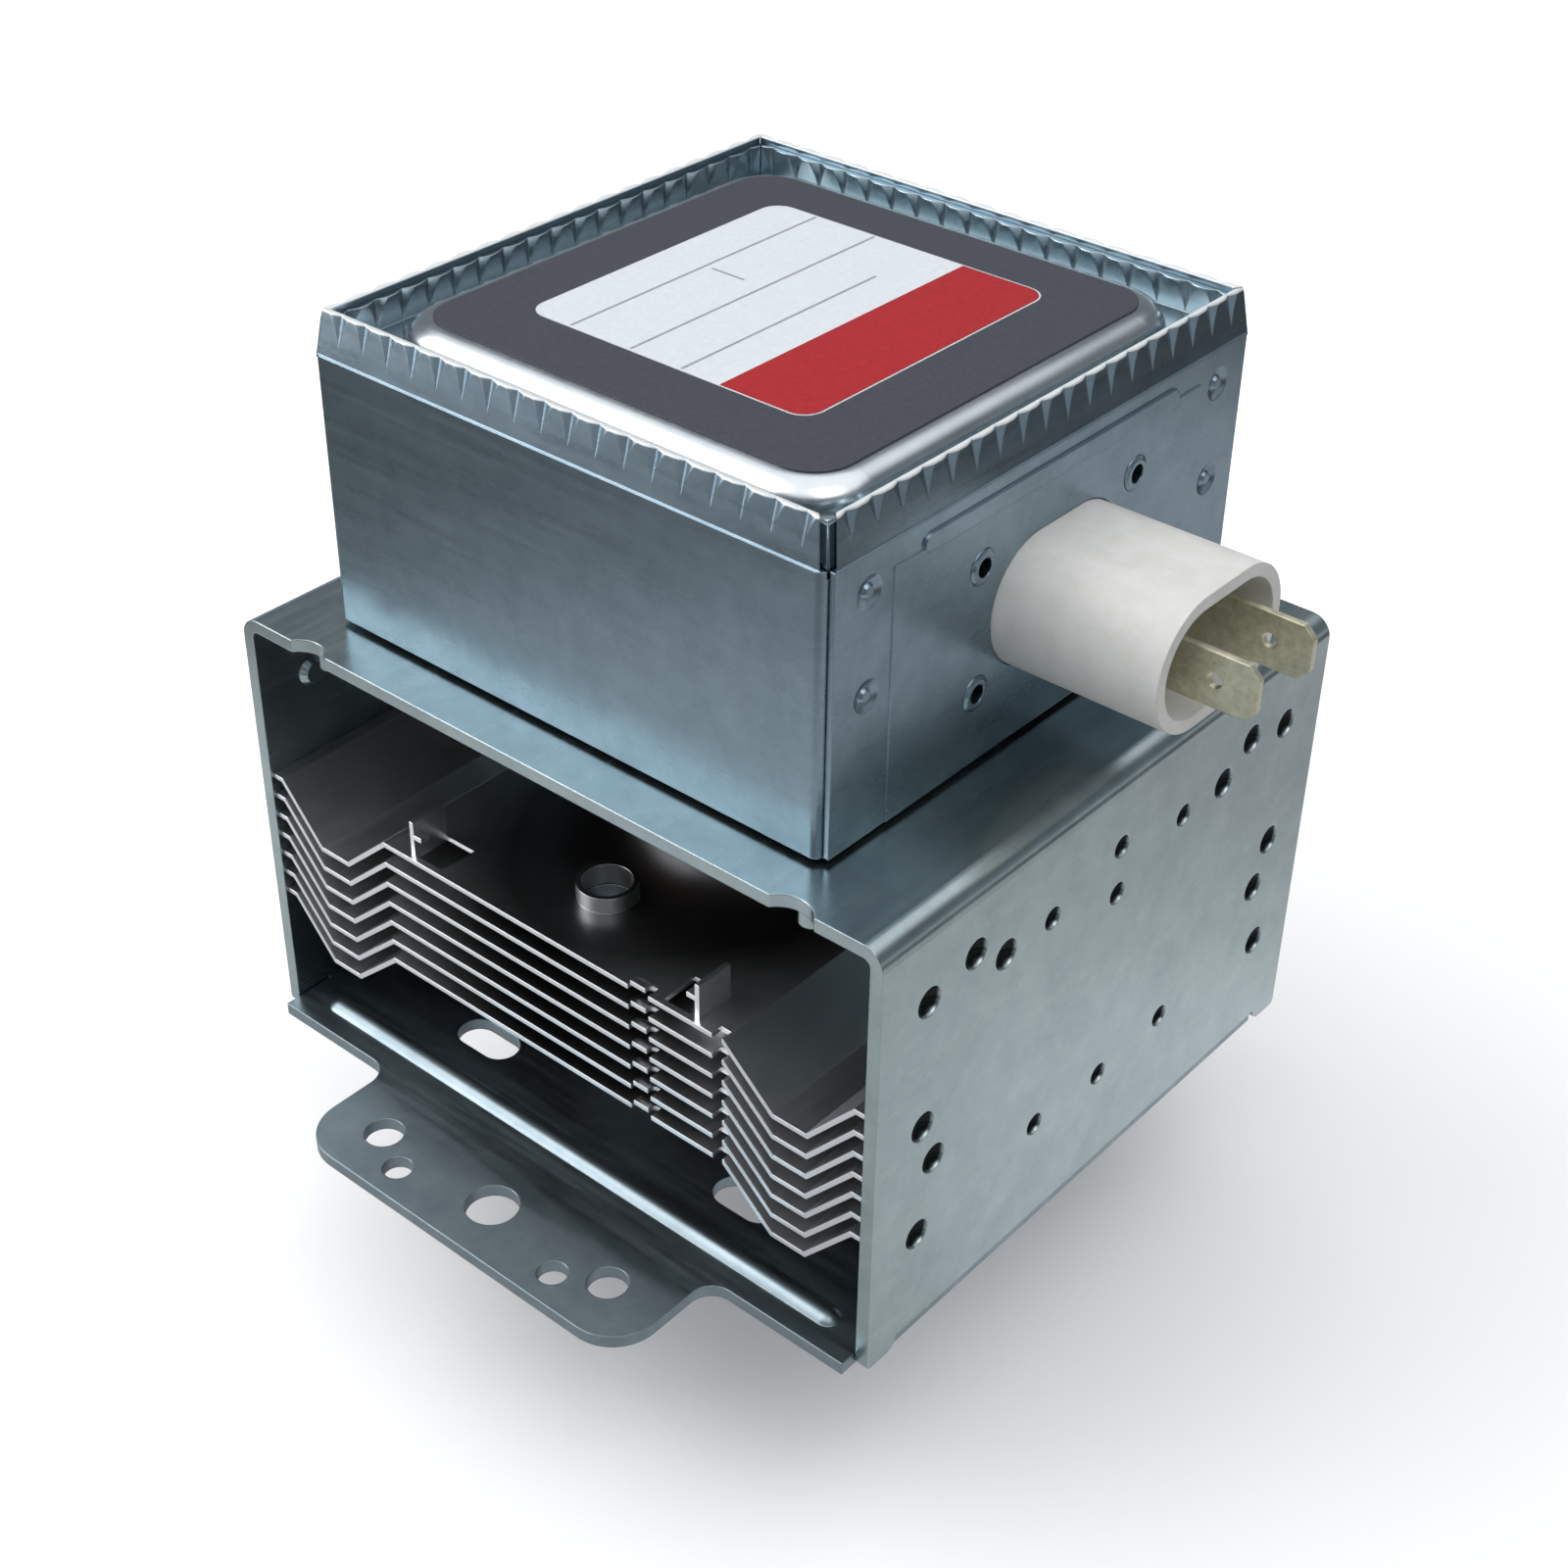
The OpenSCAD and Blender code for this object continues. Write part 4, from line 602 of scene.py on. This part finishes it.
# %% Wires of the gasket
WIRES, TURNS, STEPS, SIDES = 20, 9, 300, 5
WIRE_R = 0.17 * MM
SUNK, WAVE = 1.6, 0.9
t = np.linspace(0, 2 * np.pi, STEPS, endpoint=False)
winding = np.repeat([1, -1], WIRES)[:, None]
start = np.tile(np.arange(WIRES), 2)[:, None] * 2 * np.pi / WIRES
around = winding * TURNS * t[None, :] + start
weave = section - WIRE_R * (SUNK + WAVE * np.sin(WIRES * t[None, :] + start) * winding)
reach = ring_r + weave * np.cos(around)
path = np.stack([reach * np.cos(t), reach * np.sin(t), middle_z + weave * np.sin(around)], axis=-1)
points, faces = tubes(path, WIRE_R, SIDES)
gasket = piece("gasket_weave", points, faces, plated)
gasket.data.polygons.foreach_set("use_smooth", np.ones(len(faces), dtype=bool))
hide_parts("rf_gasket")
print("gasket wires:", 2 * WIRES, "quads:", len(faces))

# %% [markdown]
# ## Table
# The part stands on a plain white table that keeps its shadow. Bright metal shows what is around it more
# than its own colour, and an endless white table would make every wall look like paper. A studio puts grey
# cards around such a part. Here the table itself is greyer in reflections, in steps of distance: pale
# close to the part, dark further off.

# %% Paper of the table
FLOOR_Z = cad_box[0][2]
EDGE = 3.0
FIBRE_MM = 40
BOUNCED = "#b8b8b8"
MIRROR_CENTRE = (0.03, 0.04, FLOOR_Z)
MIRRORED = ((0.05, "#f4f4f4"), (0.06, "#d8d8d8"), (0.11, "#a6a6a6"), (0.19, "#bcbcbc"), (0.225, "#c2c2c2"),
            (0.265, "#5c5c5c"), (0.31, "#2c2c2c"), (0.47, "#2c2c2c"), (1.0, "#707070"))
paper, tree, shader, place = finish("white_paper", Roughness=0.85)
fibre = add(tree, "ShaderNodeTexNoise", {"Vector": place, "Scale": per_mm(FIBRE_MM), "Detail": 3.0})
shade = add(tree, "ShaderNodeValToRGB", {"Fac": fibre.outputs["Fac"]})
fill(shade, ((0.0, "#f1f1f1"), (1.0, "#f5f5f5")))
rays = add(tree, "ShaderNodeLightPath").outputs
near = add(tree, "ShaderNodeVectorMath", {0: place, 1: MIRROR_CENTRE}, operation="DISTANCE")
mirrored = add(tree, "ShaderNodeValToRGB", {"Fac": near.outputs["Value"]})
fill(mirrored, MIRRORED)
tone = add(tree, "ShaderNodeMix",
           {"Factor": rays["Is Diffuse Ray"], "A": shade.outputs[0], "B": linear(BOUNCED)}, data_type="RGBA")
tone = add(tree, "ShaderNodeMix",
           {"Factor": rays["Is Glossy Ray"], "A": tone.outputs["Result"], "B": mirrored.outputs[0]},
           data_type="RGBA").outputs["Result"]
tree.links.new(tone, shader.inputs["Base Color"])
print("table finish:", paper.name)

# %% [markdown]
# A little glow, for camera, glossy and transmission rays only, lifts the table to white away from the
# part. It adds no diffuse light, and it is weaker close to the part, where the shadow lies.

# %% Glow and shape of the table
GLOW_FROM, GLOW_TO = 0.05, 0.30
GLOW_NEAR, GLOW_FAR = 0.10, 0.30
seen = add(tree, "ShaderNodeMath", {0: rays["Is Camera Ray"], 1: rays["Is Glossy Ray"]}, operation="MAXIMUM")
seen = add(tree, "ShaderNodeMath", {0: seen.outputs[0], 1: rays["Is Transmission Ray"]}, operation="MAXIMUM")
far = add(tree, "ShaderNodeVectorMath", {0: place}, operation="LENGTH")
glow = add(tree, "ShaderNodeMapRange",
           {"Value": far.outputs["Value"], 1: GLOW_FROM, 2: GLOW_TO, 3: GLOW_NEAR, 4: GLOW_FAR})
glow = add(tree, "ShaderNodeMath", {0: glow.outputs[0], 1: seen.outputs[0]}, operation="MULTIPLY")
tree.links.new(tone, shader.inputs["Emission Color"])
tree.links.new(glow.outputs[0], shader.inputs["Emission Strength"])

corners = np.array(((-1, -1), (1, -1), (1, 1), (-1, 1))) * EDGE
mesh = bpy.data.meshes.new("table")
mesh.from_pydata(np.c_[corners, np.full(4, FLOOR_Z)].tolist(), [], [[0, 1, 2, 3]])
table = bpy.data.objects.new("table", mesh)
bpy.context.scene.collection.objects.link(table)
table.data.materials.append(paper)
print("table at mm:", round(FLOOR_Z / MM, 1))

# %% [markdown]
# ## Lamps
# Three soft square lamps light the part: a large one like a window, high at the viewer's left, a weak one
# high on the right for the connector's side, and a low one on the left that reaches in under the yoke.

# %% Three soft lamps
LAMPS = {
    "window_lamp": ((-0.65, -0.55, 0.85), (0, 0, 0.06), 1.0, 6.5),
    "right_lamp": ((0.50, -0.20, 0.90), (0, 0, 0.06), 0.5, 1.2),
    "front_lamp": ((-0.75, -0.75, 0.22), (0, 0, 0.03), 0.5, 4.0),
}


def lamp(name, stands_at, target, size, watts):
    """A square soft lamp that looks at target: its back is the unit vector away from target, its side is
    square to that and to the vertical, and its up is square to both."""
    light = bpy.data.lights.new(name, "AREA")
    light.size = size
    light.energy = watts
    back = np.array(stands_at) - np.array(target)
    back = back / np.linalg.norm(back)
    side = np.cross((0.0, 0.0, 1.0), back)
    side = side / np.linalg.norm(side)
    set_up(bpy.data.objects.new(name, light), side, np.cross(back, side), back, stands_at)


for name, settings in LAMPS.items():
    lamp(name, *settings)
print("lamps:", ", ".join(LAMPS))

# %% [markdown]
# ## Surround
# The sky is bright overhead and dark lower down, as in a room with a pale ceiling. The lid's roll and the
# yoke's top mirror its bright part, and upright walls mirror its dark part, which gives the metal its
# contrast. The camera itself sees white: its tone times the strength is just one.

# %% Sky by height
SKY = ((0.0, "#d4d7da"), (0.10, "#74797e"), (0.59, "#4c5156"), (0.72, "#eef0f2"), (1.0, "#f4f5f6"))
SKY_STRENGTH, SEEN_WHITE = 1.42, "#dbdbdb"
surround = bpy.data.worlds.new("surround")
surround.use_nodes = True
tree = surround.node_tree
towards = add(tree, "ShaderNodeTexCoord").outputs["Generated"]
height = add(tree, "ShaderNodeSeparateXYZ", {0: towards}).outputs["Z"]
sky = add(tree, "ShaderNodeValToRGB", {"Fac": height})
fill(sky, SKY)
rays = add(tree, "ShaderNodeLightPath").outputs
seen = add(tree, "ShaderNodeMath", {0: rays["Is Camera Ray"], 1: rays["Is Transmission Ray"]},
           operation="MAXIMUM")
shown = add(tree, "ShaderNodeMix",
            {"Factor": seen.outputs[0], "A": sky.outputs[0], "B": linear(SEEN_WHITE)}, data_type="RGBA")
background = tree.nodes["Background"]
background.inputs["Strength"].default_value = SKY_STRENGTH
tree.links.new(shown.outputs["Result"], background.inputs["Color"])
bpy.context.scene.world = surround
print("white for the camera:", round(linear(SEEN_WHITE)[0] * SKY_STRENGTH, 3))
